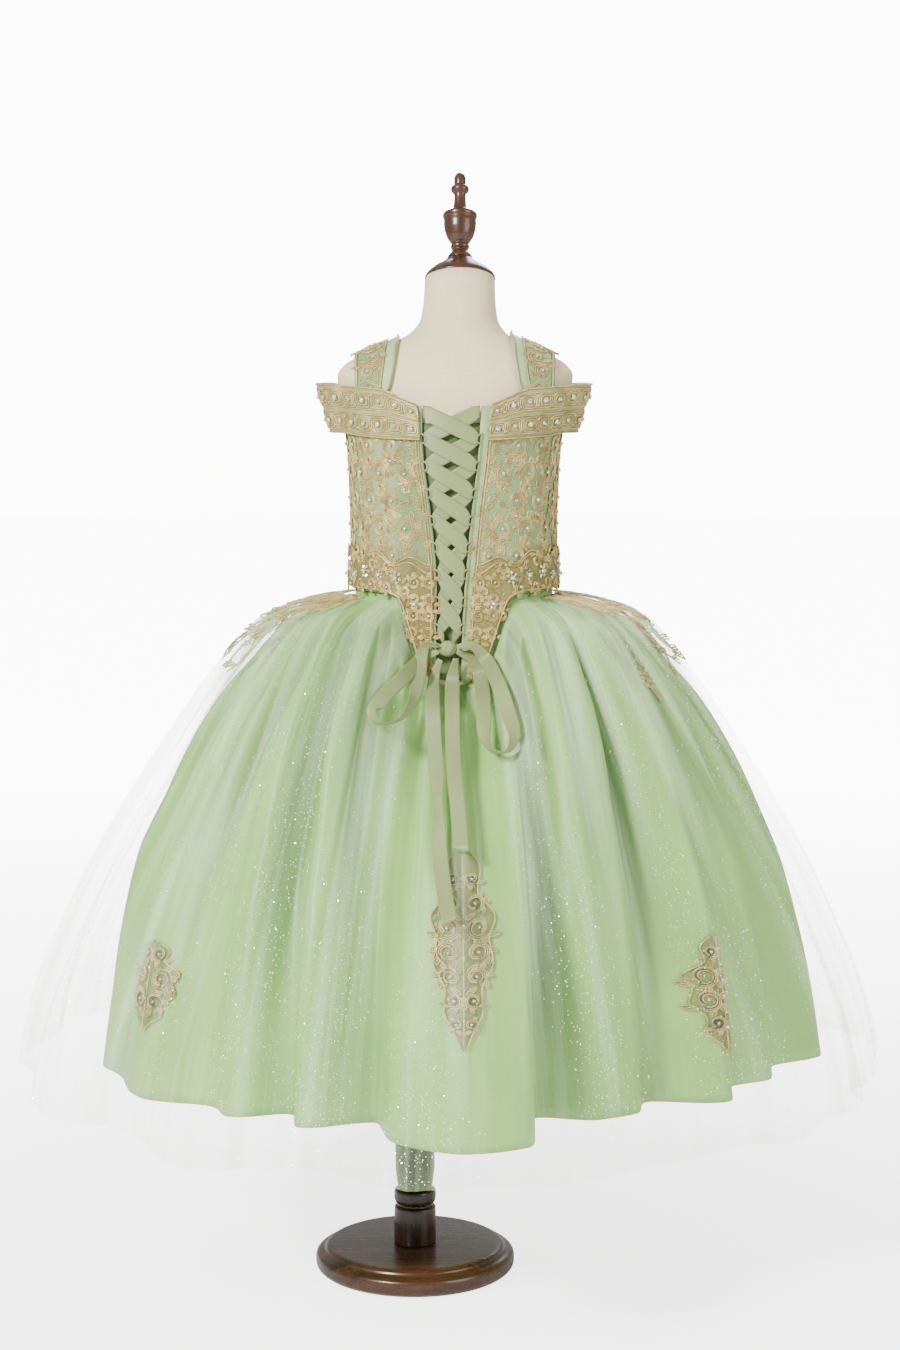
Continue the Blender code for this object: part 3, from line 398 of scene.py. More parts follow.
def make_stitched(name, ground, pitch, cover, gold, veil):
    """Embroidered ground: spiral rows of gold stitches on sheer net over the cloth."""
    paint = Paint(name)
    place = paint.place()
    wander = paint.noise(place, 60.0, 2.0)
    drift = paint.node("CombineXYZ", None, {0: wander * 0.5, 1: wander * -0.5})
    scaled = paint.node("VectorMath", {"operation": "SCALE"}, {0: place, "Scale": 1 / pitch})
    shift = paint.node("VectorMath", {"operation": "ADD"}, {0: scaled, 1: drift})
    cell = paint.node("TexVoronoi", {"voronoi_dimensions": "2D"},
                      {"Vector": shift, "Scale": 1.0, "Randomness": 0.75})
    centre = Wire(paint, cell.socket.node.outputs["Position"])
    away = paint.node("VectorMath", {"operation": "SUBTRACT"}, {0: shift, 1: centre})
    x, y, _ = paint.parts(away)
    angle = x.math("ARCTAN2", y, x) / (2 * math.pi)
    reach = paint.node("VectorMath", {"operation": "LENGTH"}, {0: away}, output=1)
    line = ((angle + reach * 4.2).fraction() - 0.5).size()
    ridge = line.between(0.5 * cover, 0.5 * cover + 0.12, 1.0, 0.0)
    across, down, _ = paint.parts(place)
    stitch = threads(across + down, STITCH_PITCH)
    tone = paint.noise(place, 90.0, 2.0)
    low = srgb(*[int(c * 0.80) for c in gold])
    high = srgb(*[min(255, int(c * 1.12)) for c in gold])
    thread = paint.mix(tone.between(0.3, 0.7), low, high)
    thread = paint.mix(stitch.between(-1.0, 1.0, 0.0, 0.25), thread, srgb(140, 124, 84))
    paint.set(Base_Color=paint.mix(ridge, ground, thread), Metallic=ridge * 0.45,
              Roughness=ridge.between(0.0, 1.0, 0.46, 0.38),
              Alpha=ridge.between(0.0, 1.0, veil, 1.0),
              Normal=paint.bump(ridge + stitch * 0.10, 0.9, 0.9 * MM))
    return paint.material


def make_crystal():
    paint = Paint("crystal", Roughness=0.08, Metallic=0.15, Specular_IOR_Level=0.9,
                  Coat_Weight=1.0, Coat_Roughness=0.02)
    spark = paint.noise(paint.place("Object"), 760.0, 1.0)
    # Painted sparkle: fine noise paints dark and white specks, standing for reflections in the cut
    # facets.
    painted_glints = ((0.36, srgb(58, 56, 30)), (0.46, srgb(190, 172, 108)),
              (0.54, srgb(232, 230, 206)), (0.62, srgb(255, 255, 246)))
    paint.set(Base_Color=paint.node("ValToRGB", {"stops": painted_glints}, {"Fac": spark}))
    return paint.material


GOLD_CORD = make_gold_cord("gold_cord", srgb(166, 142, 82), srgb(208, 190, 122),
                           srgb(208, 176, 114))
# Painted shade: dark gold-brown for the underlay beneath the scrolls, standing for the shadow
# between cords.
PAINTED_SHADE_BED = make_gold_cord("gold_painted_shade_bed", srgb(56, 42, 16), srgb(78, 60, 26), srgb(82, 58, 28))
# Each ground: its cloth, the pitch of its whorls, the share that thread covers, gold and opacity.
STITCHED = {name: make_stitched("stitched_" + name, srgb(*ground), pitch, cover, gold, veil)
            for name, ground, pitch, cover, gold, veil in (
                ("bodice", (142, 176, 118), 9 * MM, 0.20, (164, 146, 84), 1.0),
                ("waist", (112, 120, 62), 8 * MM, 0.34, (176, 150, 84), 1.0),
                ("motif", (130, 160, 84), 8 * MM, 0.16, (196, 164, 96), 0.0),
                ("band", (146, 176, 118), 7 * MM, 0.26, (206, 186, 122), 1.0))}
CRYSTAL = make_crystal()

# %% [markdown]
# ## Net and glitter
# Net is mostly air: threads as thin as hair in small meshes. From a few steps away only its veil
# shows, so the sheet is mostly transparent, with more thread where gathers crowd together and
# where a fold turns its flank outward. A raw hem frays, so it shows a little more. The glitter on
# the net is made of small sequins.


# %% Net
def make_net():
    paint = Paint("glitter_net", Roughness=0.62, Sheen_Weight=0.2)
    place = paint.place()
    crowd = paint.noise(paint.stretched(place, (52, 1.6, 1)), 1.0, 4.0, 0.65, 0.4)
    flank = paint.node("Attribute", {"attribute_name": "flank"}, output=2)
    colour = paint.mix(crowd.between(0.35, 0.7), srgb(172, 212, 140), srgb(226, 244, 206))
    hem = paint.parts(place)[1].between(-0.56, -0.66, 0.0, 0.22)
    paint.set(Base_Color=colour, Alpha=crowd.between(0.47, 0.72, 0.06, 0.25) + flank * 0.34 + hem)
    return paint.material


def make_glitter():
    # Painted sparkle: the sequins glow a little in white, on top of the light they catch.
    paint = Paint("glitter", Roughness=0.25, Metallic=0.5, Emission_Strength=0.9)
    tone = paint.noise(paint.place("Object"), 300.0, 1.0)
    paint.set(Base_Color=paint.mix(tone, srgb(236, 244, 232), srgb(255, 255, 252)),
              Emission_Color=srgb(255, 255, 250))
    return paint.material


GLITTER = make_glitter()
NET = make_net()

# %% [markdown]
# ## Meshes from grids
# Cloth is a grid of points with rows down and columns round. Its UV map holds metres along the
# middle row and column, so a weave keeps its scale. Solidify gives a shell its thickness. Each
# piece is told its body and the solids that it stands for, and a sheet also its cut.


# %% Mesh helpers
def new_object(name, mesh, material):
    mesh.materials.append(material)
    mesh.shade_smooth()
    return add_object(name, mesh)


def run(points):
    """Length along a line of points, from zero at the first."""
    strides = np.linalg.norm(np.diff(points, axis=0), axis=1)
    return np.concatenate([[0.0], np.cumsum(strides)])


CUTS = {}


def grid_area(grid):
    """Area of one layer of cloth through a grid of points."""
    one, two = grid[1:, 1:] - grid[:-1, :-1], grid[1:, :-1] - grid[:-1, 1:]
    return 0.5 * float(np.linalg.norm(np.cross(one, two), axis=2).sum())


def grid_faces(rows, columns):
    """Corners of every cell of a grid whose points run row by row."""
    corner = (np.arange(rows - 1)[:, None] * columns + np.arange(columns - 1)).ravel()
    return np.stack([corner, corner + columns, corner + columns + 1, corner + 1], axis=1)


def cloth_map(mesh, uv):
    """Metres of cloth for every corner of every face."""
    mesh.uv_layers.new(name="cloth").data.foreach_set("uv", np.ravel(uv))


def grid_piece(name, grid, material, thickness=0.0, closed=False):
    """Cloth through a grid of points, its outer face on the grid. Its flat cut is noted."""
    grid = np.asarray(grid, float)
    wide = max(run(row)[-1] for row in grid)
    long = max(run(line)[-1] for line in grid[:, ::5].swapaxes(0, 1))
    CUTS[name] = (wide, long, grid_area(grid))
    rows, columns = grid.shape[:2]
    faces = grid_faces(rows, columns)
    across = np.broadcast_to(run(grid[rows // 2]), (rows, columns)).ravel()
    down = np.broadcast_to(run(grid[:, columns // 2])[:, None], (rows, columns)).ravel()
    uv = np.stack([across, -down], axis=1)[faces.ravel()]
    if closed:
        index = np.arange(rows * columns).reshape(rows, columns)
        index[:, -1] = index[:, 0]
        faces = index.ravel()[faces]
    mesh = bpy.data.meshes.new(name)
    mesh.from_pydata(grid.reshape(-1, 3).tolist(), [], faces.tolist())
    cloth_map(mesh, uv)
    if closed:
        drop_loose(mesh)
    piece = new_object(name, mesh, material)
    if thickness:
        thicken(piece, thickness, -1.0)
    return piece


def mark(mesh, name, values, kind="FLOAT"):
    """Store a value or a direction for each point of a mesh."""
    layer = mesh.attributes.new(name, kind, "POINT")
    layer.data.foreach_set("value" if kind == "FLOAT" else "vector", np.ravel(values))


def thicken(piece, thickness, offset):
    shell = piece.modifiers.new("shell", "SOLIDIFY")
    shell.thickness, shell.offset = thickness, offset


def drop_loose(mesh):
    """Remove points that no face uses."""
    edit = bmesh.new()
    edit.from_mesh(mesh)
    bmesh.ops.delete(edit, geom=[v for v in edit.verts if not v.link_faces], context="VERTS")
    edit.to_mesh(mesh)
    edit.free()


def keep(piece, slot, *nodes, held=None):
    """Declare a finished piece: body, the solids that it stands for and a sheet's cut. The finish,
    slot, is not used.
    """
    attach(piece, "root")
    if nodes:
        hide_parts(*nodes)
    if held:
        wide, long, area = (round(size, 4) for size in CUTS[piece.name])
        print("sheet", piece.name, wide, long, area, held)
    print(piece.name, "faces:", len(piece.data.polygons))
    return piece


# %% [markdown]
# ## Turned wood
# A turning is one profile spun about its axis. The profile's corners are eased on the lathe, so a
# few points go in and a smooth curve with small fillets comes out.


# %% Turned pieces
EASE_SHARE, EASE_REACH = 0.3, 4 * MM


def turned(name, profile, material, place, tilt=0.0, steps=64):
    """Spun profile of radius and height, listed from the top down, with its corners eased."""
    profile = np.array(profile, float)
    fine = []
    for k, (radius, height) in enumerate(profile):
        before, after = profile[max(k - 1, 0)], profile[min(k + 1, len(profile) - 1)]
        if 0 < k < len(profile) - 1 and radius > 0:
            here = profile[k]
            back, on = np.linalg.norm(before - here), np.linalg.norm(after - here)
            ease = EASE_SHARE * min(back, on, EASE_REACH)
            start, end = here + (before - here) / back * ease, here + (after - here) / on * ease
            for t in (0.0, 0.5, 1.0):
                fine.append((1 - t) ** 2 * start + 2 * t * (1 - t) * here + t * t * end)
        else:
            fine.append(profile[k])
    fine = np.array(fine)
    angles = np.linspace(0, 2 * math.pi, steps, endpoint=False)
    points, faces, rings = [], [], []
    for radius, height in fine:
        if radius < 1e-6:
            rings.append([len(points)] * steps)
            points.append((0, 0, height))
        else:
            rings.append(list(range(len(points), len(points) + steps)))
            points += [(radius * math.cos(a), radius * math.sin(a), height) for a in angles]
    for upper, lower in zip(rings[:-1], rings[1:]):
        for k in range(steps):
            n = (k + 1) % steps
            faces.append(list(dict.fromkeys((upper[k], lower[k], lower[n], upper[n]))))
    c, s = math.cos(tilt), math.sin(tilt)
    points = np.array(points) @ np.array([[1, 0, 0], [0, c, -s], [0, s, c]]) + np.array(place)
    mesh = bpy.data.meshes.new(name)
    mesh.from_pydata(points.tolist(), [], faces)
    return new_object(name, mesh, material)


AXIS = np.array([0, math.sin(NECK_TILT), math.cos(NECK_TILT)])
SEAT = np.array([NECK_X, 0, NECK_TOP]) + AXIS * 0.3 * MM
BASE_PROFILE = (
    (0.0, 0.0270), (0.0900, 0.0270), (0.0940, 0.0264), (0.0965, 0.0248), (0.0975, 0.0228),
    (0.0995, 0.0212), (0.1040, 0.0202), (0.1068, 0.0180), (0.1080, 0.0150), (0.1080, 0.0075),
    (0.1066, 0.0040), (0.1030, 0.0010), (0.1000, 0.0), (0.0, 0.0))
COLUMN_PROFILE = (
    (0.0, 0.5997), (0.0125, 0.5997), (0.0125, 0.2500), (0.0150, 0.2250), (0.0178, 0.1900),
    (0.0201, 0.1620), (0.0215, 0.1350), (0.0212, 0.1100), (0.0200, 0.0990), (0.0188, 0.0915),
    (0.0185, 0.0890), (0.0218, 0.0872), (0.0226, 0.0845), (0.0228, 0.0810), (0.0226, 0.0765),
    (0.0215, 0.0732), (0.0190, 0.0717), (0.0190, 0.0697), (0.0222, 0.0682), (0.0226, 0.0600),
    (0.0228, 0.0273), (0.0, 0.0273))
CAP_PROFILE = (
    (0.0, 0.0225), (0.0130, 0.0225), (0.0148, 0.0217), (0.0165, 0.0198), (0.0200, 0.0165),
    (0.0240, 0.0145), (0.0280, 0.0120), (0.0325, 0.0082), (0.0355, 0.0050), (0.0370, 0.0026),
    (0.0372, 0.0), (0.0, 0.0))
FINIAL_PROFILE = (
    (0.0, 0.0955), (0.0030, 0.0950), (0.0050, 0.0932), (0.0060, 0.0905), (0.0062, 0.0870),
    (0.0060, 0.0835), (0.0058, 0.0820), (0.0083, 0.0803), (0.0095, 0.0788), (0.0097, 0.0765),
    (0.0088, 0.0742), (0.0062, 0.0722), (0.0060, 0.0680), (0.0064, 0.0620), (0.0072, 0.0565),
    (0.0088, 0.0540), (0.0130, 0.0520), (0.0172, 0.0502), (0.0183, 0.0482), (0.0178, 0.0455),
    (0.0168, 0.0440), (0.0172, 0.0400), (0.0166, 0.0330), (0.0142, 0.0245), (0.0105, 0.0185),
    (0.0085, 0.0165), (0.0097, 0.0152), (0.0099, 0.0130), (0.0094, 0.0112), (0.0080, 0.0102),
    (0.0092, 0.0072), (0.0120, 0.0042), (0.0140, 0.0), (0.0, 0.0))
keep(turned("stand_base_turned", BASE_PROFILE, WALNUT_BASE, (STAND_X, 0, 0), steps=112),
     "walnut", "stand_base")
keep(turned("stand_column_turned", COLUMN_PROFILE, WALNUT_TURNED, (STAND_X, 0, 0)),
     "walnut", "stand_column")
keep(turned("neck_cap_turned", CAP_PROFILE, WALNUT_TURNED, SEAT, NECK_TILT), "walnut", "neck_cap")
FINIAL_SEAT = SEAT + AXIS * (CAP_PROFILE[0][1] + 0.3 * MM)
keep(turned("finial_turned", FINIAL_PROFILE, WALNUT_TURNED, FINIAL_SEAT, NECK_TILT),
     "walnut", "neck_finial")

# %% [markdown]
# ## The linen form
# The form is a padded shell under tight linen. Its sections are stacked as rings, close enough
# that the shoulders stay round, and the neck is cut on the slope that its wooden cap sits on.


# %% Rings of linen
TORSO_SIDES, TORSO_GIRTH = 120, 0.62
# The rounded foot as height and step in, then rings that lie closest over the shoulders.
TORSO_FOOT = ((TORSO_FLOOR, -6 * MM), (TORSO_FLOOR + 2 * MM, -2 * MM))
TORSO_RINGS = np.concatenate([np.linspace(0.606, 0.90, 30), np.linspace(0.906, 1.030, 44),
                              np.linspace(1.034, 1.046, 4)])


def make_torso():
    sides = TORSO_SIDES
    angles = np.linspace(0, 360, sides, endpoint=False)
    rings = [form(angles, np.full(sides, height), step) for height, step in TORSO_FOOT]
    rings += [form(angles, np.full(sides, height)) for height in TORSO_RINGS]
    top = form(angles, np.full(sides, NECK_TOP))
    top[:, 2] = NECK_TOP - math.tan(NECK_TILT) * top[:, 1]
    rings += [rings[-1] + (top - rings[-1]) * t for t in (0.5, 1.0)]
    points = np.concatenate(rings)
    count = len(rings)
    around = np.arange(sides)
    after = (around + 1) % sides
    faces = []
    for i in range(count - 1):
        low, high = i * sides, (i + 1) * sides
        faces += np.stack([low + around, low + after, high + after, high + around], axis=1).tolist()
    faces.append(list(reversed(range(sides))))
    faces.append(list(range((count - 1) * sides, count * sides)))
    mesh = bpy.data.meshes.new("torso_linen")
    mesh.from_pydata(points.tolist(), [], faces)
    layer = mesh.uv_layers.new(name="cloth")
    for face in mesh.polygons:
        turns = [mesh.loops[k].vertex_index % sides for k in face.loop_indices]
        for k, turn in zip(face.loop_indices, turns):
            point = mesh.vertices[mesh.loops[k].vertex_index].co
            turn = turn + sides if turn == 0 and max(turns) == sides - 1 else turn
            end = len(face.vertices) > 4
            layer.data[k].uv = point[:2] if end else (TORSO_GIRTH * turn / sides, point[2])
    return new_object("torso_linen", mesh, LINEN)


keep(make_torso(), "linen", "torso")

# %% [markdown]
# ## The satin skirt
# The skirt is cut in six gores, gathered into the V of the bodice, and falls over a stiff
# petticoat. Ridges and valleys are named at the hem, by angle and radius, and each line of the
# cloth runs from its place at the waist to its place at the hem. The main creases come from a
# table, and small waves are added where the gathers are tightest. A cloth simulation would lose
# the folds that the gown really has.

# %% The skirt's form
SATIN_HEM, TULLE_HEM = 0.240, 0.234
SATIN_SLOPE = (
    (0.0, 0.0), (0.012, 0.10), (0.03, 0.20), (0.06, 0.262), (0.10, 0.335), (0.137, 0.393),
    (0.19, 0.485), (0.244, 0.561), (0.349, 0.677), (0.455, 0.768), (0.564, 0.849),
    (0.671, 0.902), (0.78, 0.944), (0.889, 0.975), (1.0, 1.0),
)
TULLE_SLOPE = (
    (0.0, 0.0), (0.012, 0.11), (0.03, 0.21), (0.049, 0.262), (0.112, 0.352), (0.175, 0.425),
    (0.237, 0.488), (0.30, 0.545), (0.363, 0.603), (0.425, 0.658), (0.488, 0.712),
    (0.551, 0.762), (0.614, 0.808), (0.678, 0.850), (0.741, 0.890), (0.806, 0.930),
    (0.869, 0.958), (0.931, 0.982), (1.0, 1.0),
)
SATIN_FOLDS = (
    (-180, 0.392), (-157, 0.350), (-146, 0.386), (-134, 0.348), (-122, 0.384), (-110, 0.352),
    (-97, 0.378), (-89, 0.366), (-82, 0.374), (-73, 0.358), (-60, 0.366), (-47, 0.322),
    (-41, 0.336), (-32.5, 0.292), (-27, 0.326), (-15, 0.286), (-9, 0.345), (2, 0.381),
    (12, 0.366), (18, 0.272), (29, 0.303), (37, 0.306), (44, 0.282), (55, 0.346),
    (63, 0.322), (72, 0.352), (79, 0.348), (88, 0.400), (97, 0.380), (110, 0.356),
    (122, 0.388), (134, 0.350), (146, 0.388), (157, 0.350), (180, 0.392),
)
SATIN_LAYER = (SATIN_HEM, SATIN_SLOPE, 2.7 * MM, 9.0 * MM)
TULLE_LAYER = (TULLE_HEM, TULLE_SLOPE, 4.3 * MM, 5.5 * MM)
SKIRT_SHIFT, SKIRT_TUCK, WAIST_SWING = 2.8, 7.5 * MM, 18.0
HOLLOW_DEPTH, HOLLOW_HALF_ANGLE, HOLLOW_PEAK = 0.042, 24.0, 0.12
TULLE_RADIUS, TULLE_RUFFLES, RUFFLE_DEPTH = 0.452, 12, 0.008
# Small waves: how many there are round the skirt, their depth and their seed.
GATHERS, LONG_FOLDS = ((38, 53, 70), 11.0 * MM, 5), ((13, 19, 27), 10.0 * MM, 8)
NET_GATHERS, NET_FOLDS = ((44, 61, 83), 5.0 * MM, 3), ((9, 14, 21), 13.0 * MM, 4)
HEM_DIPS, GLITTER_STREAKS = ((5, 9, 13), 9.0 * MM, 21), ((7, 17, 29), 1.6, 31)


def skirt(angle, down, hem_radius, hem_height, slope, clear, drop):
    """Points of a skirt layer, by angle at the hem and share of the way down."""
    at_waist = angle + WAIST_SWING * np.sin(np.radians(2 * angle))
    from_back = np.abs(at_waist)
    nearer = np.where(from_back < 90, from_back - SKIRT_SHIFT, from_back + SKIRT_SHIFT)
    top = read(WAIST_LINE, nearer) - drop
    start = form(at_waist, top, clear)
    turn = np.radians(angle)
    share = read(slope, down)
    dent = down / HOLLOW_PEAK * np.exp(1 - down / HOLLOW_PEAK)
    x = start[..., 0] + (hem_radius * np.sin(turn) - start[..., 0]) * share
    y = start[..., 1] + (-hem_radius * np.cos(turn) - start[..., 1]) * share
    y = y + HOLLOW_DEPTH * dent * np.exp(-(angle / HOLLOW_HALF_ANGLE) ** 2)
    return np.stack(np.broadcast_arrays(x, y, top + (hem_height - top) * down), axis=-1)


def waves(angle, down, counts, depth, seed):
    """Uneven small waves that wander a little on their way down."""
    mix = np.random.default_rng(seed)
    total = 0.0
    for count in counts:
        phase, drift = mix.uniform(0, 2 * math.pi), mix.uniform(-0.5, 0.5)
        swell = 1 + 0.7 * np.sin(np.radians(angle) * mix.integers(2, 6) + mix.uniform(0, 6.3))
        total = total + swell * np.sin(np.radians(angle) * count + phase + drift * down * 6)
    return depth * total / len(counts)


def on_layer(radius, layer, creases):
    """Surface of a skirt layer with its creases, or at a distance out from it."""
    def surface(angle, down, out=0.0):
        angle = (angle + 180) % 360 - 180
        turn = np.radians(angle)
        way = np.stack([np.sin(turn), -np.cos(turn), np.zeros_like(turn)], axis=-1)
        points = skirt(angle, down, radius(angle), *layer)
        return points + way * (creases(angle, down) + out)[..., None]
    return surface


def skirt_cloth(angles, downs, surface, layer):
    """Points of a layer, with a row tucked up under the bodice and its two ends closed."""
    points = surface(*np.meshgrid(angles, downs))
    at_waist = angles + WAIST_SWING * np.sin(np.radians(2 * angles))
    tuck = form(at_waist, points[0, :, 2] + SKIRT_TUCK, layer[2])
    grid = np.concatenate([tuck[None], points])
    grid[:, -1] = grid[:, 0]
    return grid


def satin_radius(angle):
    return read(SATIN_FOLDS, angle)


# Main creases: angle at the waist, angle at the end, share of the way down, half angle, depth in
# millimetres (a valley is below zero). The front has the same ones, turned round.
CREASES = (
    (-66, -71, 0.60, 2.6, -11), (-58, -61, 0.34, 1.8, 8), (-50, -56, 0.75, 2.4, -13),
    (-41, -43, 0.45, 1.9, 10), (-34, -38, 0.85, 2.6, -17), (-27, -29, 0.40, 1.8, 11),
    (-22, -22, 0.60, 2.2, -13), (21, 20, 0.90, 2.4, -18), (26, 26, 0.45, 1.8, 12),
    (31, 34, 0.55, 2.0, -14), (37, 41, 0.38, 1.8, 11), (43, 48, 0.80, 2.4, -17),
    (50, 56, 0.40, 1.9, 10), (56, 63, 0.70, 2.6, -13), (66, 72, 0.50, 2.4, -10),
    (-78, -82, 0.55, 2.8, -10), (79, 84, 0.55, 2.8, -10),
)


CREASE_GAIN, CREASE_SPREAD, CREASE_TURNS = 1.25, 0.8, (0.0, 183.0)


def hand_creases(angle, down):
    total = 0.0
    for start, end, reach, half, depth in CREASES:
        fade = np.clip(1 - (down / reach) ** 2, 0, 1)
        spread = half * (1 + CREASE_SPREAD * down)
        for turn in CREASE_TURNS:
            line = start + (end - start) * down / reach + turn
            apart = (angle - line + 180) % 360 - 180
            total = total + CREASE_GAIN * depth * MM * fade * np.exp(-(apart / spread) ** 2)
    return total


def satin_creases(angle, down):
    """Gathers by the waist, the main creases, and long soft folds lower down."""
    rise = np.clip(down / 0.05, 0, 1)
    gathers = waves(angle, down, *GATHERS) * np.exp(-down / 0.32)
    long_folds = waves(angle, down, *LONG_FOLDS) * np.clip(1.15 - down, 0, 1)
    return rise * (gathers + hand_creases(angle, down) + long_folds * down ** 0.5)


# Creases and folds below these levels are marked for painted shade: the satin colour is darkened
# there as if shadow fell in them.
VALLEY_LEVEL, VALLEY_DEPTH, FOLD_LEVEL, FOLD_DEPTH = -1.0 * MM, 13.0 * MM, 0.325, 0.075
ROUND = np.linspace(-180, 180, 451)
SKIRT_DOWN = np.concatenate([np.linspace(0, 0.05, 8), np.linspace(0.064, 1.0, 42)])
on_satin = on_layer(satin_radius, SATIN_LAYER, satin_creases)
satin_grid = skirt_cloth(ROUND, SKIRT_DOWN, on_satin, SATIN_LAYER)
SKIRT_NODES = ("skirt_front_left", "skirt_side_left", "skirt_back_left",
               "skirt_back_right", "skirt_side_right", "skirt_front_right")
satin_skirt = grid_piece("satin_skirt", satin_grid, SATIN, 0.7 * MM, closed=True)
all_round, all_down = np.meshgrid(ROUND[:-1], np.concatenate([[0.0], SKIRT_DOWN]))
painted_shade_share = (VALLEY_LEVEL - satin_creases(all_round, all_down)) / VALLEY_DEPTH
painted_shade_share += (FOLD_LEVEL - satin_radius(all_round)) / FOLD_DEPTH * all_down ** 1.5
mark(satin_skirt.data, "valley", np.clip(painted_shade_share, 0, 1))
keep(satin_skirt, "satin", *SKIRT_NODES, held="gathered")

# %% [markdown]
# ## The net overskirt
# Two widths of glittered net hang over the satin and stand away from it at the hem, where the cut
# edge is left raw and dips in soft corners. It stays one sheet, because net has no thickness that
# the eye can see and a second face would double its veil.


# %% Net cloth
def net_radius(angle):
    return TULLE_RADIUS + RUFFLE_DEPTH * np.cos(np.radians(TULLE_RUFFLES * angle))


def net_creases(angle, down):
    """Like the satin's by the waist, and its own lower down where it hangs free."""
    free = 1 - np.exp(-down / 0.16)
    small = waves(angle, down, *NET_GATHERS) * (1.1 - 0.6 * down)
    broad = waves(angle, down, *NET_FOLDS) * down
    pulled = 0.9 * hand_creases(angle, down)
    return satin_creases(angle, down) * (1 - free) + free * (small + broad + pulled)


FLANK_GAIN = 1.7


def mark_flanks(piece):
    """Store how steeply each place turns away from straight out, where the net looks denser."""
    mesh = piece.data
    count = len(mesh.vertices)
    places, normals = np.empty(count * 3), np.empty(count * 3)
    mesh.vertices.foreach_get("co", places)
    mesh.vertex_normals.foreach_get("vector", normals)
    places, normals = places.reshape(-1, 3), normals.reshape(-1, 3)
    out = places * (1, 1, 0)
    out /= np.linalg.norm(out, axis=1, keepdims=True)
    level = normals * (1, 1, 0)
    level /= np.linalg.norm(level, axis=1, keepdims=True) + 1e-9
    steep = 1 - np.abs(np.sum(out * level, axis=1))
    mark(mesh, "flank", np.clip(steep * FLANK_GAIN, 0, 1))
    print("mean flank:", round(float(steep.mean()), 3))


NET_ROUND, DIP_FROM = np.linspace(-180, 180, 601), 0.75
on_net = on_layer(net_radius, TULLE_LAYER, net_creases)
net_grid = skirt_cloth(NET_ROUND, SKIRT_DOWN, on_net, TULLE_LAYER)
near_hem = np.clip((SKIRT_DOWN[:, None] - DIP_FROM) / (1 - DIP_FROM), 0, 1)
net_grid[1:, :, 2] += near_hem ** 2 * waves(NET_ROUND, 0.0, *HEM_DIPS)
net_grid[:, -1] = net_grid[:, 0]
net_skirt = grid_piece("net_overskirt", net_grid, NET, closed=True)
mark_flanks(net_skirt)
keep(net_skirt, "tulle", "tulle_front_left", "tulle_back_left", "tulle_back_right",
     "tulle_front_right", held="gathered")

# %% [markdown]
# ## The bodice
# Five panels of sage satin are cut to the form and boned. A strip beside the laces stays plain
# and the rest carries an embroidered ground. A satin placket closes the back behind the laces;
# its dark colour is painted shade for the deep gap there.


# %% Bodice panels
def panel(left_at, right_at, columns, rows, out, foot_line=WAIST_LINE, top_line=NECK_LINE):
    """Grid between two edges, each an angle by height, from a top line to a foot line."""
    share = np.linspace(0, 1, columns)
    height = np.full((rows, columns), 0.80)
    for _ in range(6):
        angle = left_at(height) * (1 - share) + right_at(height) * share
        top, foot = read(top_line, np.abs(angle)), read(foot_line, np.abs(angle))
        height = top + (foot - top) * np.linspace(0, 1, rows)[:, None]
    return form(angle, height, out), angle, height


def edge(angle):
    return lambda height: np.full_like(height, angle)


def lace_edge(side, shift=0.0):
    return lambda height: form_angle(opening_x(height, side), height) + shift


def mirrored(line):
    """A line given from the back, read for angles up to a full turn."""
    return line + tuple((360.0 - place, height) for place, height in reversed(line[:-1]))


# Degrees of plain satin beside the laces, the seams, and half the gap at a seam.
PLAIN_STRIPS = {-1: 2.6, 1: 4.6}
SIDE_SEAM, FRONT_SEAM, SEAM_GAP = 58.0, 118.0, 0.1
PANELS = (
    ("bodice_back_left", edge(SEAM_GAP - SIDE_SEAM), lace_edge(-1), 60),
    ("bodice_back_right", lace_edge(1), edge(SIDE_SEAM - SEAM_GAP), 60),
    ("bodice_side_left", edge(SEAM_GAP - FRONT_SEAM), edge(-SIDE_SEAM - SEAM_GAP), 40),
    ("bodice_side_right", edge(SIDE_SEAM + SEAM_GAP), edge(FRONT_SEAM - SEAM_GAP), 40),
    ("bodice_front", edge(FRONT_SEAM + SEAM_GAP), edge(360 - FRONT_SEAM - SEAM_GAP), 80),
)
for name, left_at, right_at, columns in PANELS:
    foot, top = mirrored(WAIST_LINE), mirrored(NECK_LINE)
    grid = panel(left_at, right_at, columns, 40, BODICE_OUT - 0.2 * MM, foot, top)[0]
    material = BODICE_SATIN if "back" in name else STITCHED["bodice"]
    piece = grid_piece(name + "_satin", grid, material, 1.2 * MM)
    keep(piece, "satin", name, held="stretched")
for side in (-1, 1):
    outer = edge(side * (SIDE_SEAM - 2 * SEAM_GAP))
    inner = lace_edge(side, side * PLAIN_STRIPS[side])
    ends = (outer, inner) if side < 0 else (inner, outer)
    grid = panel(*ends, 50, 42, BODICE_OUT + 0.5 * MM)[0]
    name = "bodice_embroidery_left" if side < 0 else "bodice_embroidery_right"
    keep(grid_piece(name, grid, STITCHED["bodice"], 0.5 * MM), "gold_cord", held="stretched")

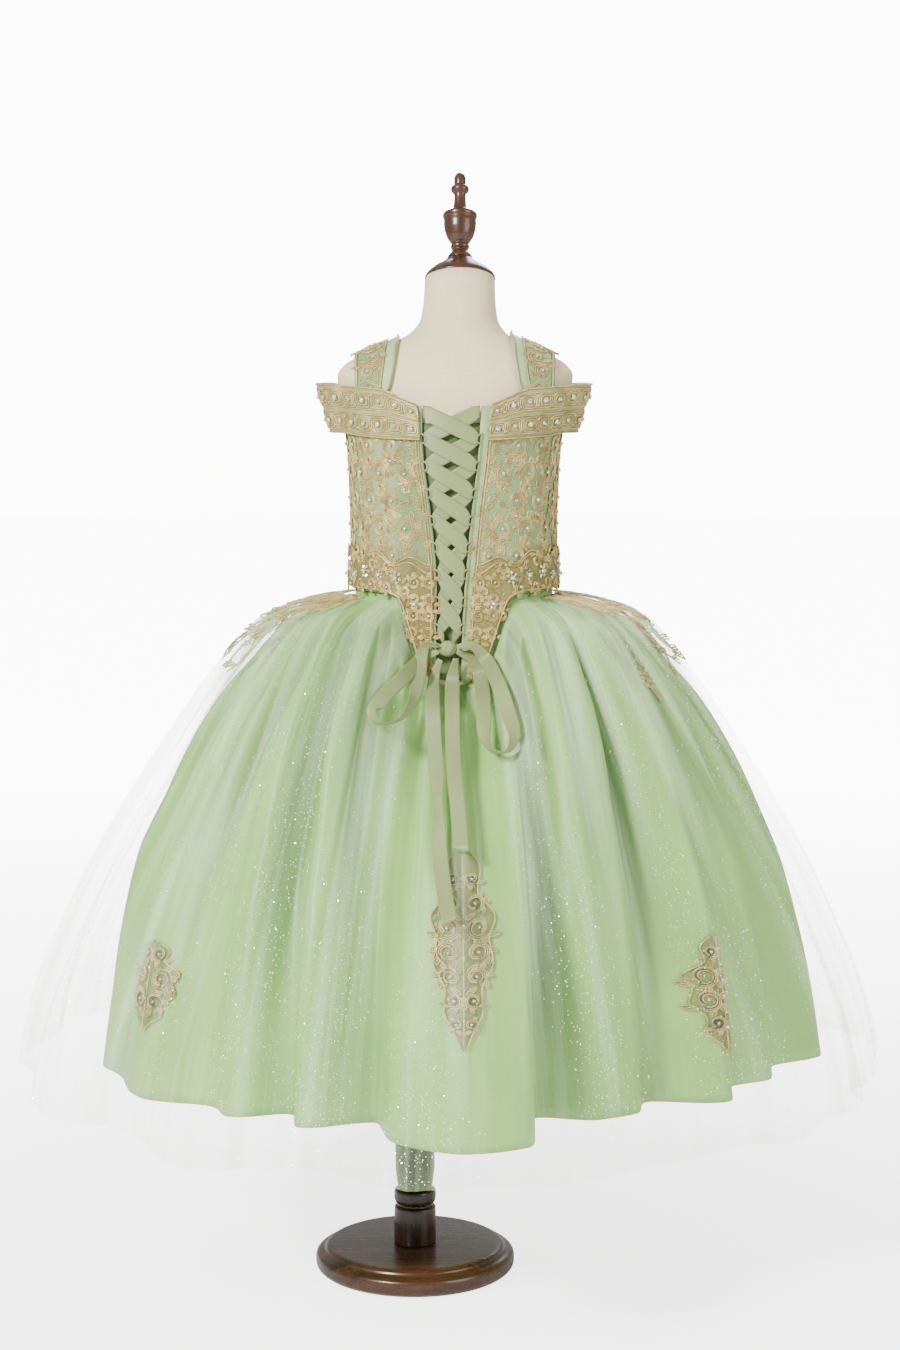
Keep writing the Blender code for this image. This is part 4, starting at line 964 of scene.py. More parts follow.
PLACKET_HALF, PLACKET_TOP, PLACKET_OVERLAP, PLACKET_OUT = 19, 0.918, 3.7 * MM, 2.7 * MM
angle, share = np.meshgrid(np.linspace(-PLACKET_HALF, PLACKET_HALF, 41), np.linspace(0, 1, 50))
foot = read(WAIST_LINE, np.abs(angle) - SKIRT_SHIFT) + PLACKET_OVERLAP
grid = form(angle, PLACKET_TOP + (foot - PLACKET_TOP) * share, PLACKET_OUT)
keep(grid_piece("placket_satin", grid, PAINTED_SHADE_SATIN, 0.8 * MM), "placket", "lacing_placket",
     held="stretched")

# %% [markdown]
# ## Cords and gems by Geometry Nodes
# Couched cord and crystals repeat hundreds of times. One tree sweeps a small section along every
# line of a mesh of edges. The others set a gem or a sequin on every point and turn it to face
# out. All of them end as plain meshes, so that the export keeps them.


# %% Geometry Nodes trees
def new_tree(name, *sizes):
    tree = bpy.data.node_groups.new(name, "GeometryNodeTree")
    tree.is_modifier = True
    tree.interface.new_socket("Geometry", in_out="INPUT", socket_type="NodeSocketGeometry")
    tree.interface.new_socket("Geometry", in_out="OUTPUT", socket_type="NodeSocketGeometry")
    for label in sizes:
        tree.interface.new_socket(label, in_out="INPUT", socket_type="NodeSocketFloat")
    tree.interface.new_socket("Finish", in_out="INPUT", socket_type="NodeSocketMaterial")
    return tree


def add(tree, kind, settings=None, **sockets):
    """A node with its settings, and its sockets fed by a value or by another node's output."""
    node = tree.nodes.new(kind)
    for key, value in (settings or {}).items():
        setattr(node, key, value)
    for key, value in sockets.items():
        socket = node.inputs[key.replace("_", " ")]
        if isinstance(value, bpy.types.NodeSocket):
            tree.links.new(value, socket)
        else:
            socket.default_value = value
    return node


def finish_tree(tree, source, geometry):
    real = add(tree, "GeometryNodeRealizeInstances", Geometry=geometry)
    smooth = add(tree, "GeometryNodeSetShadeSmooth", Geometry=real.outputs[0])
    painted = add(tree, "GeometryNodeSetMaterial", Geometry=smooth.outputs[0],
                  Material=source.outputs["Finish"])
    end = tree.nodes.new("NodeGroupOutput")
    tree.links.new(painted.outputs[0], end.inputs[0])


def cord_tree():
    tree = new_tree("couched_cord", "Radius")
    source = tree.nodes.new("NodeGroupInput")
    curve = add(tree, "GeometryNodeMeshToCurve", Mesh=source.outputs["Geometry"])
    ring = add(tree, "GeometryNodeCurvePrimitiveCircle", Resolution=4,
               Radius=source.outputs["Radius"])
    swept = add(tree, "GeometryNodeCurveToMesh", Curve=curve.outputs[0],
                Profile_Curve=ring.outputs[0], Fill_Caps=True)
    finish_tree(tree, source, swept.outputs[0])
    return tree


def gem_tree(kind):
    tree = new_tree("set_" + kind)
    source = tree.nodes.new("NodeGroupInput")
    if kind == "gem":
        shape = add(tree, "GeometryNodeMeshCone", {"fill_type": "NGON"}, Vertices=8,
                    Radius_Top=0.48, Radius_Bottom=1.0, Depth=0.75)
    else:
        shape = add(tree, "GeometryNodeMeshCircle", {"fill_type": "NGON"}, Vertices=6)
    facing = add(tree, "GeometryNodeInputNamedAttribute", {"data_type": "FLOAT_VECTOR"},
                 Name="facing")
    scale = add(tree, "GeometryNodeInputNamedAttribute", {"data_type": "FLOAT"}, Name="scale")
    turned_out = add(tree, "FunctionNodeAlignRotationToVector", {"axis": "Z"},
                     Vector=facing.outputs[0])
    placed = add(tree, "GeometryNodeInstanceOnPoints", Points=source.outputs["Geometry"],
                 Instance=shape.outputs[0], Rotation=turned_out.outputs[0], Scale=scale.outputs[0])
    finish_tree(tree, source, placed.outputs[0])
    return tree


TREES = {"cord": cord_tree(), "gem": gem_tree("gem"), "sequin": gem_tree("sequin")}


def grow(name, mesh, kind, material, radius=None):
    """Run one tree on a mesh and keep the result as a plain mesh."""
    seed = add_object(name, mesh)
    maker = seed.modifiers.new("maker", "NODES")
    maker.node_group = TREES[kind]
    values = {"Radius": radius, "Finish": material}
    for socket in TREES[kind].interface.items_tree:
        if socket.name in values:
            maker[socket.identifier] = values[socket.name]
    ready = seed.evaluated_get(bpy.context.evaluated_depsgraph_get())
    result = bpy.data.meshes.new_from_object(ready)
    result.name = name
    if not result.materials:
        result.materials.append(material)
    seed.modifiers.clear()
    seed.data = result
    return seed


def cords(name, lines, radius, material=None):
    """Cords swept along open lines of points."""
    points, edges = [], []
    for line in lines:
        start = len(points)
        points += [tuple(point) for point in line]
        edges += [(start + k, start + k + 1) for k in range(len(line) - 1)]
    mesh = bpy.data.meshes.new(name)
    mesh.from_pydata(points, edges, [])
    return grow(name, mesh, "cord", material or GOLD_CORD, radius)


def stones(name, places, kind="gem", material=None):
    """Gems or sequins at places, each a point, a direction and a size."""
    mesh = bpy.data.meshes.new(name)
    mesh.from_pydata([tuple(point) for point, _, _ in places], [], [])
    mark(mesh, "facing", [way for _, way, _ in places], "FLOAT_VECTOR")
    mark(mesh, "scale", [size for _, _, size in places])
    return grow(name, mesh, kind, material or CRYSTAL)


# %% [markdown]
# ## Glitter
# Thousands of small sequins lie on the net, thick in some streaks and thin between them, each
# tilted its own way so that only some of them catch the lamp. All of them also glow a little, as
# painted sparkle.

# %% Sequins on the net
GLITTER_COUNT, GLITTER_RADIUS, GLITTER_TILT, GLITTER_LIFT = 13500, 0.5 * MM, 0.7, 0.9 * MM
tries = 6 * GLITTER_COUNT
angle, down = rng.uniform(-180, 180, tries), rng.uniform(0.04, 0.995, tries) ** 0.8
wealth = 0.5 + waves(angle, down, *GLITTER_STREAKS)
chosen = np.flatnonzero(rng.uniform(0.0, 1.6, tries) < wealth * (0.35 + down))[:GLITTER_COUNT]
column = (angle[chosen] + 180) / 360 * (len(NET_ROUND) - 1.001)
row = 1 + np.interp(down[chosen], SKIRT_DOWN, np.arange(len(SKIRT_DOWN))) * 0.9999
i, j = row.astype(int), column.astype(int)
i = np.minimum(i, len(net_grid) - 2)
u, v = (row - i)[:, None], (column - j)[:, None]
right, below = net_grid[i, j + 1] - net_grid[i, j], net_grid[i + 1, j] - net_grid[i, j]
spots = net_grid[i, j] + v * right + u * below
ways = np.cross(right, -below)
ways /= np.linalg.norm(ways, axis=1, keepdims=True)
tilts = ways + GLITTER_TILT * rng.uniform(-1, 1, ways.shape)
sizes = GLITTER_RADIUS * rng.uniform(0.6, 1.25, len(spots))
sequins = list(zip(spots + ways * GLITTER_LIFT, tilts, sizes))
keep(stones("net_glitter", sequins, "sequin", GLITTER), "tulle")

# %% [markdown]
# ## Drawing scrolls
# Each motif is drawn flat in metres, as a couturier draws it on tissue: bands of cord that curl
# in on themselves, with pointed leaves on their backs. The drawing is then laid on its surface, so
# cords and stones follow the form.


# %% Flat drawings
def leaf(x, y, length, width, turn):
    """Pointed leaf outline with its vein."""
    t = np.linspace(0, 1, 6)
    half = 0.5 * width * np.sin(math.pi * t ** 0.8)
    side = np.stack([length * t, half], axis=1)
    other = side[::-1][1:] * np.array([1, -1])
    vein = np.stack([length * t[:4:3], 0 * t[:4:3]], axis=1)
    spin = np.array([[math.cos(turn), math.sin(turn)], [-math.sin(turn), math.cos(turn)]])
    return [np.concatenate([side, other]) @ spin + (x, y), vein @ spin + (x, y)]


# A curl makes almost one turn, and its radius shrinks by half on the way.
CURL_TURNS, CURL_SHRINK, CURL_POWER = 0.96, 0.50, 1.3
# Spacing of cords, and the size, sinking and middle line of the dark underlay that is painted shade
# between them.
CORD_STEP, SHADE_BED_RADIUS, SHADE_BED_SINK, SHADE_BED_MIDDLE = 2.1 * MM, 3.9 * MM, 3.0 * MM, 1.4
# Leaves on a scroll's back: where, in turns from its foot, length by its size, and lean.
SCROLL_LEAVES = ((-0.06, 1.10, 1.0), (0.11, 0.66, 0.9), (0.24, 0.74, 0.8), (0.38, 0.60, 0.7))
LEAF_WIDTH = 0.40


def curl(x, y, radius, turn, hand, count):
    t = np.linspace(0, 1, count)
    radius = radius * (1 - CURL_SHRINK * t ** CURL_POWER)
    angle = turn + hand * 2 * math.pi * CURL_TURNS * t
    return np.stack([x + radius * np.cos(angle), y + radius * np.sin(angle)], axis=1)


def scroll(x, y, size, turn, hand):
    """C-scroll: a band of cords that rolls in on itself, and four leaves on its back."""
    count = max(2, min(4, int(size / (1.6 * CORD_STEP))))
    lines = [curl(x, y, size - k * CORD_STEP, turn, hand, 17 - 2 * k) for k in range(count)]
    for share, length, lean in SCROLL_LEAVES:
        angle = turn + hand * 2 * math.pi * share
        reach = size * (1 - CURL_SHRINK * max(share, 0) ** CURL_POWER)
        start = x + reach * math.cos(angle), y + reach * math.sin(angle)
        lines += leaf(*start, length * size, LEAF_WIDTH * size, angle - hand * lean)
    return lines


def shade_bed(x, y, size, turn, hand):
    """Middle line of a scroll's band, for the dark underlay under its cords that is painted shade
    between them.
    """
    return curl(x, y, size - SHADE_BED_MIDDLE * CORD_STEP, turn, hand, 15)


def fit(lines, surface):
    """Lay flat lines on a surface, which takes places in metres and gives points."""
    return [surface(line[:, 0], line[:, 1]) for line in lines]


def outward(surface, x, y):
    """Direction straight out of a surface at a place."""
    step = 1.0 * MM
    here = surface(np.array([x]), np.array([y]))[0]
    right = surface(np.array([x + step]), np.array([y]))[0] - here
    up = surface(np.array([x]), np.array([y + step]))[0] - here
    way = np.cross(right, up)
    return here, way / np.linalg.norm(way)


def set_stones(gems, surface, size, lift=0.3 * MM):
    places = []
    for x, y, share in gems:
        point, way = outward(surface, x, y)
        places.append((point + way * (size * share * 0.35 + lift), way, size * share))
    return places


# %% [markdown]
# ## Scrollwork on the bodice
# Scrolls fill each panel in staggered rows, with small ones between them, mirrored left and
# right, and every one has a crystal at its heart. Leaves lean away from the laces, and plain
# cords edge the plain strip.

# %% Bodice scrollwork
BODICE_RADIUS, CORD_LIFT, BODICE_CORD, BODICE_GEM = 0.108, 0.8 * MM, 0.80 * MM, 2.2 * MM
SCROLL_ROWS, SCROLL_COLUMNS, SCROLL_START, SCROLL_FOOT = 6, 12, 0.036, 0.782
SCROLL_PITCH, SCROLL_RISE, SCROLL_SIZE = 0.0310, 0.0282, 0.0125
FILL_SIZE, FILL_RISE, FILL_GEM = 0.46, 0.45, 0.6
FRONT_END, LEAF_TOP = 177, 0.925
# Leaves beside the plain strip: step up, lean. Their size, and how far round they start.
STRIP_LEAVES = ((0.0, 0.9), (0.010, -0.9), (0.020, 0.9))
STRIP_LEAF, STRIP_LEAF_START = (0.0105, 0.0046), 3.6


def bodice_surface(out):
    def surface(x, y):
        return form(np.degrees(np.asarray(x) / BODICE_RADIUS), np.asarray(y), out)
    return surface


on_bodice = bodice_surface(BODICE_OUT + CORD_LIFT)
lines, shade_beds, gems = [], [], []
for row in range(SCROLL_ROWS):
    height = SCROLL_FOOT + row * SCROLL_RISE
    for column in range(SCROLL_COLUMNS):
        for fill in (False, True):
            reach = SCROLL_START + (column + 0.5 * (row % 2) + 0.5 * fill) * SCROLL_PITCH
            level = height + (FILL_RISE * SCROLL_RISE if fill else 0.0)
            angle = math.degrees(reach / BODICE_RADIUS)
            turn = math.pi * (0.5 + 0.7 * (column % 2)) + rng.uniform(-0.5, 0.5)
            hand = 1 if (row + column + fill) % 2 else -1
            grown = SCROLL_SIZE * rng.uniform(0.9, 1.08) * (FILL_SIZE if fill else 1.0)
            for side in (-1, 1):
                strip = abs(form_angle(opening_x(level, side), level)) + PLAIN_STRIPS[side]
                near = strip + math.degrees(grown / BODICE_RADIUS) + 1.0
                top = read(NECK_LINE, angle) - 0.6 * grown
                if angle < near or angle > FRONT_END or level > top:
                    continue
                shape = scroll(0.0, 0.0, grown, turn, hand)
                lines += [line * (side, 1) + (side * reach, level) for line in shape]
                shade_beds.append(shade_bed(0.0, 0.0, grown, turn, hand) * (side, 1) + (side * reach, level))
                gems.append((side * reach, level, FILL_GEM if fill else 1.0))
    for side in (-1, 1):
        strip = abs(form_angle(opening_x(height, side), height)) + PLAIN_STRIPS[side]
        x = side * math.radians(strip + STRIP_LEAF_START) * BODICE_RADIUS
        for step, lean in STRIP_LEAVES:
            if height + step < LEAF_TOP:
                lines += leaf(x, height + step, *STRIP_LEAF, math.pi / 2 - side * lean)
laid = fit(lines, on_bodice)
heights = np.linspace(0.905, 0.700, 50)
for side in (-1, 1):
    for shift in (0.5, PLAIN_STRIPS[side] - 0.4, PLAIN_STRIPS[side] + 1.1):
        angles = form_angle(opening_x(heights, side), heights) + side * shift
        laid.append(form(angles, heights, BODICE_OUT + 0.9 * MM))
back = [line for line in laid if line[:, 1].mean() < 0]
front = [line for line in laid if line[:, 1].mean() >= 0]
low_bodice = bodice_surface(BODICE_OUT - SHADE_BED_SINK)
# Dark underlay under the scrolls: painted shade between the cords.
keep(cords("bodice_scroll_beds", fit(shade_beds, low_bodice), SHADE_BED_RADIUS, PAINTED_SHADE_BED), "gold_cord")
keep(cords("bodice_scrollwork_back", back, BODICE_CORD), "gold_cord")
keep(cords("bodice_scrollwork_front", front, BODICE_CORD), "gold_cord")
keep(stones("bodice_crystals", set_stones(gems, on_bodice, BODICE_GEM)), "gold_cord")

# %% [markdown]
# ## The shoulder bands
# A stiff band of gold cord runs from beside the laces over each upper arm and round to the front.
# Rows of cord edge it and part it in two, small windows are drawn in cord along each half, and a
# crystal sits in each window. The left band is the right one mirrored.

# %% Band cloth, cords and crystals
ARM_LOOP = ((0.127, -0.036), (0.141, -0.020), (0.1470, 0.002), (0.1450, 0.024), (0.130, 0.040))
ARM_LOOP_TAPER = 0.015
BAND_TOP = ((0.0, 0.937), (17.0, 0.938), (33.0, 0.953), (60.0, 0.956), (90.0, 0.9575),
            (120.0, 0.956), (150.0, 0.950), (180.0, 0.936))
BAND_FOOT = ((0.0, 0.901), (17.0, 0.901), (60.0, 0.904), (90.0, 0.906), (120.0, 0.904),
             (180.0, 0.890))
BAND_LEAVES, BAND_LANDS, BAND_START = 58.0, 122.0, 17.5
BAND_OUT, BAND_LIFT, BAND_THICK, BAND_CORD = 10.9 * MM, 0.7 * MM, 1.4 * MM, 0.85 * MM
BAND_MIRROR = np.array([-1.0, 1.0, 1.0]), np.array([0.0085, 0.0, 0.0])


def band_row(share, count, out=BAND_OUT):
    """One level of the right band: along the back, round the arm and along the front."""
    knots = []
    for angle in np.linspace(BAND_START, BAND_LEAVES, 6):
        top, foot = read(BAND_TOP, angle), read(BAND_FOOT, angle)
        knots.append(form(angle, top + (foot - top) * share, out))
    top, foot = read(BAND_TOP, 90.0), read(BAND_FOOT, 90.0)
    for x, y in ARM_LOOP:
        reach = 1 - ARM_LOOP_TAPER / ARM_LOOP[2][0] * share + (out - 8.5 * MM) / ARM_LOOP[2][0]
        knots.append((x * reach, y * reach, top + (foot - top) * share))
    for angle in np.linspace(BAND_LANDS, 179.9, 8):
        top, foot = read(BAND_TOP, angle), read(BAND_FOOT, angle)
        knots.append(form(angle, top + (foot - top) * share, out))
    return smooth_path(np.array(knots), count)


def band_grid(out):
    return np.array([band_row(share, BAND_COUNT, out) for share in np.linspace(0, 1, BAND_ROWS)])


def mirrored_points(points):
    return np.asarray(points) * BAND_MIRROR[0] + BAND_MIRROR[1]


BAND_COUNT, BAND_ROWS = 150, 15
band_right, raised_band = band_grid(BAND_OUT), band_grid(BAND_OUT + BAND_LIFT)
for name, grid in (("right", band_right), ("left", mirrored_points(band_right[:, ::-1]))):
    cloth = grid_piece("arm_band_%s_cloth" % name, grid, STITCHED["band"], BAND_THICK)
    keep(cloth, "gold_cord", "arm_band_" + name, held="stretched")


def on_band(along, share):
    """Points on the right band by share of its length and of its height."""
    column = np.clip(along, 0, 0.9999) * (BAND_COUNT - 1)
    row = np.clip(share, 0, 0.9999) * (BAND_ROWS - 1)
    i, j = row.astype(int), column.astype(int)
    u, v = (row - i)[..., None], (column - j)[..., None]
    return ((1 - u) * (1 - v) * raised_band[i, j] + u * (1 - v) * raised_band[i + 1, j]
            + (1 - u) * v * raised_band[i, j + 1] + u * v * raised_band[i + 1, j + 1])


BAND_WINDOWS, LAST_BEAD, BAND_CORDS = 17, 0.995, (0.02, 0.10, 0.45, 0.55, 0.90, 0.98)
# Rows of windows: height and where the first one starts. A window's two cords: half its width
# and half its height. Gem sizes by turns, and the small beads between windows.
WINDOW_ROWS, WINDOW_CORDS = ((0.27, 0.36), (0.73, 0.5)), ((0.43, 0.145), (0.31, 0.095))
WINDOW_GEMS, BEAD_STEPS, BEAD_SIZE = (2.7 * MM, 3.5 * MM), (-0.09, 0.09), 0.95 * MM
around = np.linspace(0, 2 * math.pi, 17)
# A circle squared up, as share of half the width and half the height.
square_x, square_y = (np.sign(wave) * np.abs(wave) ** 0.5
                      for wave in (np.cos(around), np.sin(around)))
lines = [band_row(share, BAND_COUNT, BAND_OUT + BAND_LIFT) for share in BAND_CORDS]
places = []
for k in range(BAND_WINDOWS):
    for row, (centre, start) in enumerate(WINDOW_ROWS):
        middle = (k + start) / BAND_WINDOWS
        for reach, tall in WINDOW_CORDS:
            along = middle + reach / BAND_WINDOWS * square_x
            lines.append(on_band(along, centre + tall * square_y))
        spots = [(middle, centre, WINDOW_GEMS[(k + row) % 2])]
        gap = middle + 0.5 / BAND_WINDOWS
        if gap < LAST_BEAD:
            spots += [(gap, centre + step, BEAD_SIZE) for step in BEAD_STEPS]
        for along, share, size in spots:
            here, beside, below = on_band(np.array([along, along + 0.004, along]),
                                          np.array([share, share, share + 0.03]))
            way = np.cross(below - here, beside - here)
            way /= np.linalg.norm(way)
            places.append((here + way * 0.5 * MM, way, size))
for name, flip in (("right", False), ("left", True)):
    band_lines = [mirrored_points(line) for line in lines] if flip else lines
    band_stones = places
    if flip:
        band_stones = [(mirrored_points(p), w * BAND_MIRROR[0], s) for p, w, s in places]
    keep(cords("arm_band_cords_" + name, band_lines, BAND_CORD), "gold_cord")
    keep(stones("arm_band_crystals_" + name, band_stones), "gold_cord")

# %% [markdown]
# ## The straps
# Satin straps run over the shoulders, with a gold applique down the middle of each and a plain
# piped edge towards the neck.

# %% Strap satin, gold and crystals
STRAP_FOOT, STRAP_CREST, STRAP_END, CREST_TOP = (0.070, 0.103), (0.058, 0.105), 0.951, 1.030
STRAP_OUT, STRAP_CORD, STRAP_GEM, STRAP_MIDDLE = 2.9 * MM, 0.75 * MM, 1.7 * MM, 0.005


def section(height, out):
    """Middle, half width and half depth of the form under cloth at a height."""
    middle, width, depth = (read(FORM_SECTIONS, height - out, column) for column in (1, 2, 3))
    return middle, width + out, depth + out


def strap_reach(x, height, out):
    middle, width, depth = section(height, out)
    return depth * np.sqrt(np.clip(1 - ((x - middle) / width) ** 2, 0, 1))


def shoulder_height(x, y, out):
    """Height of the form's shoulder over a place, found by halving."""
    low, high = np.full(x.shape, STRAP_END - MM), np.full(x.shape, CREST_TOP)
    for _ in range(28):
        height = 0.5 * (low + high)
        middle, width, depth = section(height, out)
        inside = ((x - middle) / width) ** 2 + (y / depth) ** 2 < 1
        low, high = np.where(inside, height, low), np.where(inside, high, height)
    return height


def strap_points(t, share, side, out=STRAP_OUT):
    """Places by way over the shoulder from -1 to 1, and by share of the strap's width."""
    foot = STRAP_FOOT[0] + (STRAP_FOOT[1] - STRAP_FOOT[0]) * share
    crest = STRAP_CREST[0] + (STRAP_CREST[1] - STRAP_CREST[0]) * share
    x = STRAP_MIDDLE + side * (crest + (foot - crest) * t * t)
    y = strap_reach(x, STRAP_END, out) * np.sin(0.5 * math.pi * t)
    return np.stack([x, y, shoulder_height(x, y, out)], axis=-1)


def strap_grid(side, reach, first, last, columns, out):
    t, share = np.meshgrid(np.linspace(-reach, reach, 50), np.linspace(first, last, columns),
                           indexing="ij")
    grid = strap_points(t, share, side, out)
    return grid if side < 0 else grid[:, ::-1]


# The applique's edges by share of the strap's width, and half the strap's length in metres and
# its width. Its scrolls sit on a middle line and lean to either hand by turns.
GOLD_REACH, GOLD_FIRST, GOLD_LAST, GOLD_MIDDLE = 0.98, 0.28, 0.94, 0.61
STRAP_HALF, STRAP_WIDTH, STRAP_SCROLLS, STRAP_PITCH = 0.095, 0.036, 10, 0.0186
for name, side in (("left", -1), ("right", 1)):
    satin = strap_grid(side, 1, 0, 1, 16, STRAP_OUT)
    gold = strap_grid(side, GOLD_REACH, GOLD_FIRST, GOLD_LAST, 10, 3.6 * MM)
    keep(grid_piece("strap_satin_" + name, satin, BODICE_SATIN, 1.2 * MM), "satin",
         "strap_" + name, held="stretched")
    keep(grid_piece("strap_applique_" + name, gold, STITCHED["bodice"], 0.6 * MM), "gold_cord",
         held="stretched")
    lines, places, t = [], [], np.linspace(-GOLD_REACH, GOLD_REACH, 46)
    for share in (0.03, GOLD_FIRST, GOLD_LAST):
        lines.append(strap_points(t, np.full(t.shape, share), side, 4.2 * MM))
    for k in range(STRAP_SCROLLS):
        along = -0.084 + k * STRAP_PITCH
        hand = 1 if k % 2 else -1
        for line in scroll(0.0024 * hand, along, 0.0082, hand * 1.1, hand):
            share = GOLD_MIDDLE + line[:, 0] / STRAP_WIDTH
            lines.append(strap_points(line[:, 1] / STRAP_HALF, share, side, 4.1 * MM))
        share = np.array([GOLD_MIDDLE + 0.06 * hand])
        spot = strap_points(np.array([along / STRAP_HALF]), share, side, 4.6 * MM)[0]
        way = spot - (STRAP_MIDDLE + side * 0.07, 0.0, 0.93)
        places.append((spot, way / np.linalg.norm(way), STRAP_GEM))
    keep(cords("strap_cords_" + name, lines, STRAP_CORD), "gold_cord")
    keep(stones("strap_crystals_" + name, places), "gold_cord")

# %% [markdown]
# ## Waist applique
# A scalloped applique of heavy gold cord circles the waist and runs down both points of the
# bodice. Flowers of long cut crystals sit along it, and small scrolls fill the rest.

# %% Waist gold and its crystals
WAIST_SCALLOPS = (
    (0.0, 0.772), (14.0, 0.774), (24.0, 0.781), (34.0, 0.774), (46.0, 0.787), (60.0, 0.777),
    (76.0, 0.789), (92.0, 0.777), (108.0, 0.787), (124.0, 0.776), (140.0, 0.786), (156.0, 0.774),
    (168.0, 0.770), (180.0, 0.760),
)
WAIST_OUT, WAIST_LIFT, WAIST_CORD, WAIST_GEM = 9.8 * MM, 0.6 * MM, 0.8 * MM, 3.0 * MM
WAIST_ROWS, WAIST_COLUMNS, WAIST_OVER = 26, 90, 3 * MM
WAIST_PIECES = (
    ("waist_applique_back_left", edge(-89.9), lace_edge(-1, -2.6)),
    ("waist_applique_back_right", lace_edge(1, 5.0), edge(89.9)),
    ("waist_applique_front_left", edge(-179.85), edge(-90.1)),
    ("waist_applique_front_right", edge(90.1), edge(179.85)),
)
WAIST_FOOT = tuple((place, height + WAIST_OVER) for place, height in WAIST_LINE)
waist_lines = []
for name, left_at, right_at in WAIST_PIECES:
    grid, angle, height = panel(left_at, right_at, WAIST_COLUMNS, WAIST_ROWS, WAIST_OUT,
                                WAIST_FOOT, WAIST_SCALLOPS)
    keep(grid_piece(name + "_gold", grid, STITCHED["waist"], 1.2 * MM), "gold_cord", name,
         held="stretched")
    for rim in (0, 2, -1):
        waist_lines.append(form(angle[rim], height[rim], WAIST_OUT + WAIST_LIFT))
    for rim in (0, -1):
        waist_lines.append(form(angle[:, rim], height[:, rim], WAIST_OUT + WAIST_LIFT))

on_waist = bodice_surface(WAIST_OUT + 0.5 * MM)
FLOWERS, FLOWER_START, FLOWER_PITCH, FLOWER_END, PETALS = 16, 0.040, 0.0215, 176, 6
# Rows and columns of small scrolls on the two points beside the laces.
POINT_HEIGHTS, POINT_STEPS, POINT_MARGIN = np.arange(0.670, 0.757, 0.0170), (0.011, 0.027), 0.009
FLOWER_SCROLL, POINT_SCROLL = 0.0066, 0.0072
gems, petals = [], []
for side in (-1, 1):
    for k in range(FLOWERS):
        x = FLOWER_START + k * FLOWER_PITCH
        angle = math.degrees(x / BODICE_RADIUS)
        if angle > FLOWER_END:
            continue
        top, foot = read(WAIST_SCALLOPS, angle), read(WAIST_LINE, angle)
        centre_x, centre_z = side * x, 0.5 * (top + foot) + 0.003 * (1 if k % 2 else -1)
        gems.append((centre_x, centre_z, 1.0))
        for petal in range(PETALS):
            turn = k * 0.7 + petal * 2 * math.pi / PETALS
            petals.append((centre_x, centre_z, turn, 1.0 if k % 2 else 0.72))
        for hand in (-1, 1):
            shape = scroll(centre_x + hand * 0.010, centre_z - 0.012 * hand, FLOWER_SCROLL,
                           k + hand * 1.3, hand)
            waist_lines += fit(shape, on_waist)
        for step, share in ((0.010, 0.45), (-0.010, 0.55)):
            gems.append((centre_x + side * 0.5 * FLOWER_PITCH, centre_z + step, share))
    for k, height in enumerate(POINT_HEIGHTS):
        for step in POINT_STEPS:
            x = opening_x(height, side) + side * step
            angle = abs(math.degrees(x / BODICE_RADIUS))
            if height < read(WAIST_LINE, angle) + POINT_MARGIN:
                continue
            hand = 1 if k % 2 else -1
            waist_lines += fit(scroll(x, height, POINT_SCROLL, 1.2 * hand, hand), on_waist)
            if k % 2:
                gems.append((float(x), float(height), 0.5))
keep(cords("waist_applique_cords", waist_lines, WAIST_CORD), "gold_cord")
keep(stones("waist_applique_crystals", set_stones(gems, on_waist, WAIST_GEM)), "gold_cord")

# A petal's length, width and height, and its six corners by share of length and width.
PETAL_SIZE = 8.2 * MM, 4.0 * MM, 1.9 * MM
PETAL_ALONG = np.array([0.30, 1.0, 0.62, 0.62, 0.50, 0.78])
PETAL_ACROSS = np.array([0.0, 0.0, 0.5, -0.5, 0.0, 0.0])
PETAL_RISE = np.array([0.2, 0.2, 0.2, 0.2, 1.0, 1.0])[:, None]


def petal_mesh(petals, surface):
    """Long cut stones set like petals: a raised ridge between two pointed ends."""
    length, width, height = PETAL_SIZE
    points, faces = [], []
    for x, y, turn, scale in petals:
        u, v = PETAL_ALONG * length * scale, PETAL_ACROSS * width * scale
        place = surface(x + u * math.cos(turn) - v * math.sin(turn),
                        y + u * math.sin(turn) + v * math.cos(turn))
        _, way = outward(surface, x, y)
        k = len(points)
        points += (place + way * PETAL_RISE * height * scale).tolist()
        faces += [(k, k + 3, k + 4), (k + 3, k + 5, k + 4), (k + 3, k + 1, k + 5),
                  (k + 1, k + 2, k + 5), (k + 2, k + 4, k + 5), (k + 2, k, k + 4),
                  (k, k + 2, k + 1, k + 3)]
    mesh = bpy.data.meshes.new("waist_petal_crystals")
    mesh.from_pydata(points, [], faces)
    mesh.materials.append(CRYSTAL)
    return add_object("waist_petal_crystals", mesh)


keep(petal_mesh(petals, on_waist), "gold_cord")

# %% [markdown]
# ## Appliques on the skirt
# Gold motifs are sewn to the satin, under the net. Each is cut to its own outline, lies over the
# folds, and carries mirrored pairs of scrolls, a corded rim and stem, and three rows of crystals.

# %% Skirt motifs
MOTIF_OUTLINE = (
    (0.0, 0.20), (0.10, 0.52), (0.20, 0.44), (0.34, 0.98), (0.44, 0.80), (0.56, 0.92),
    (0.70, 0.56), (0.80, 0.60), (0.92, 0.26), (1.0, 0.08),
)
SPRAY_OUTLINE = (
    (0.0, 0.40), (0.12, 0.85), (0.28, 1.0), (0.45, 0.68), (0.60, 0.75), (0.80, 0.36), (1.0, 0.10),
)
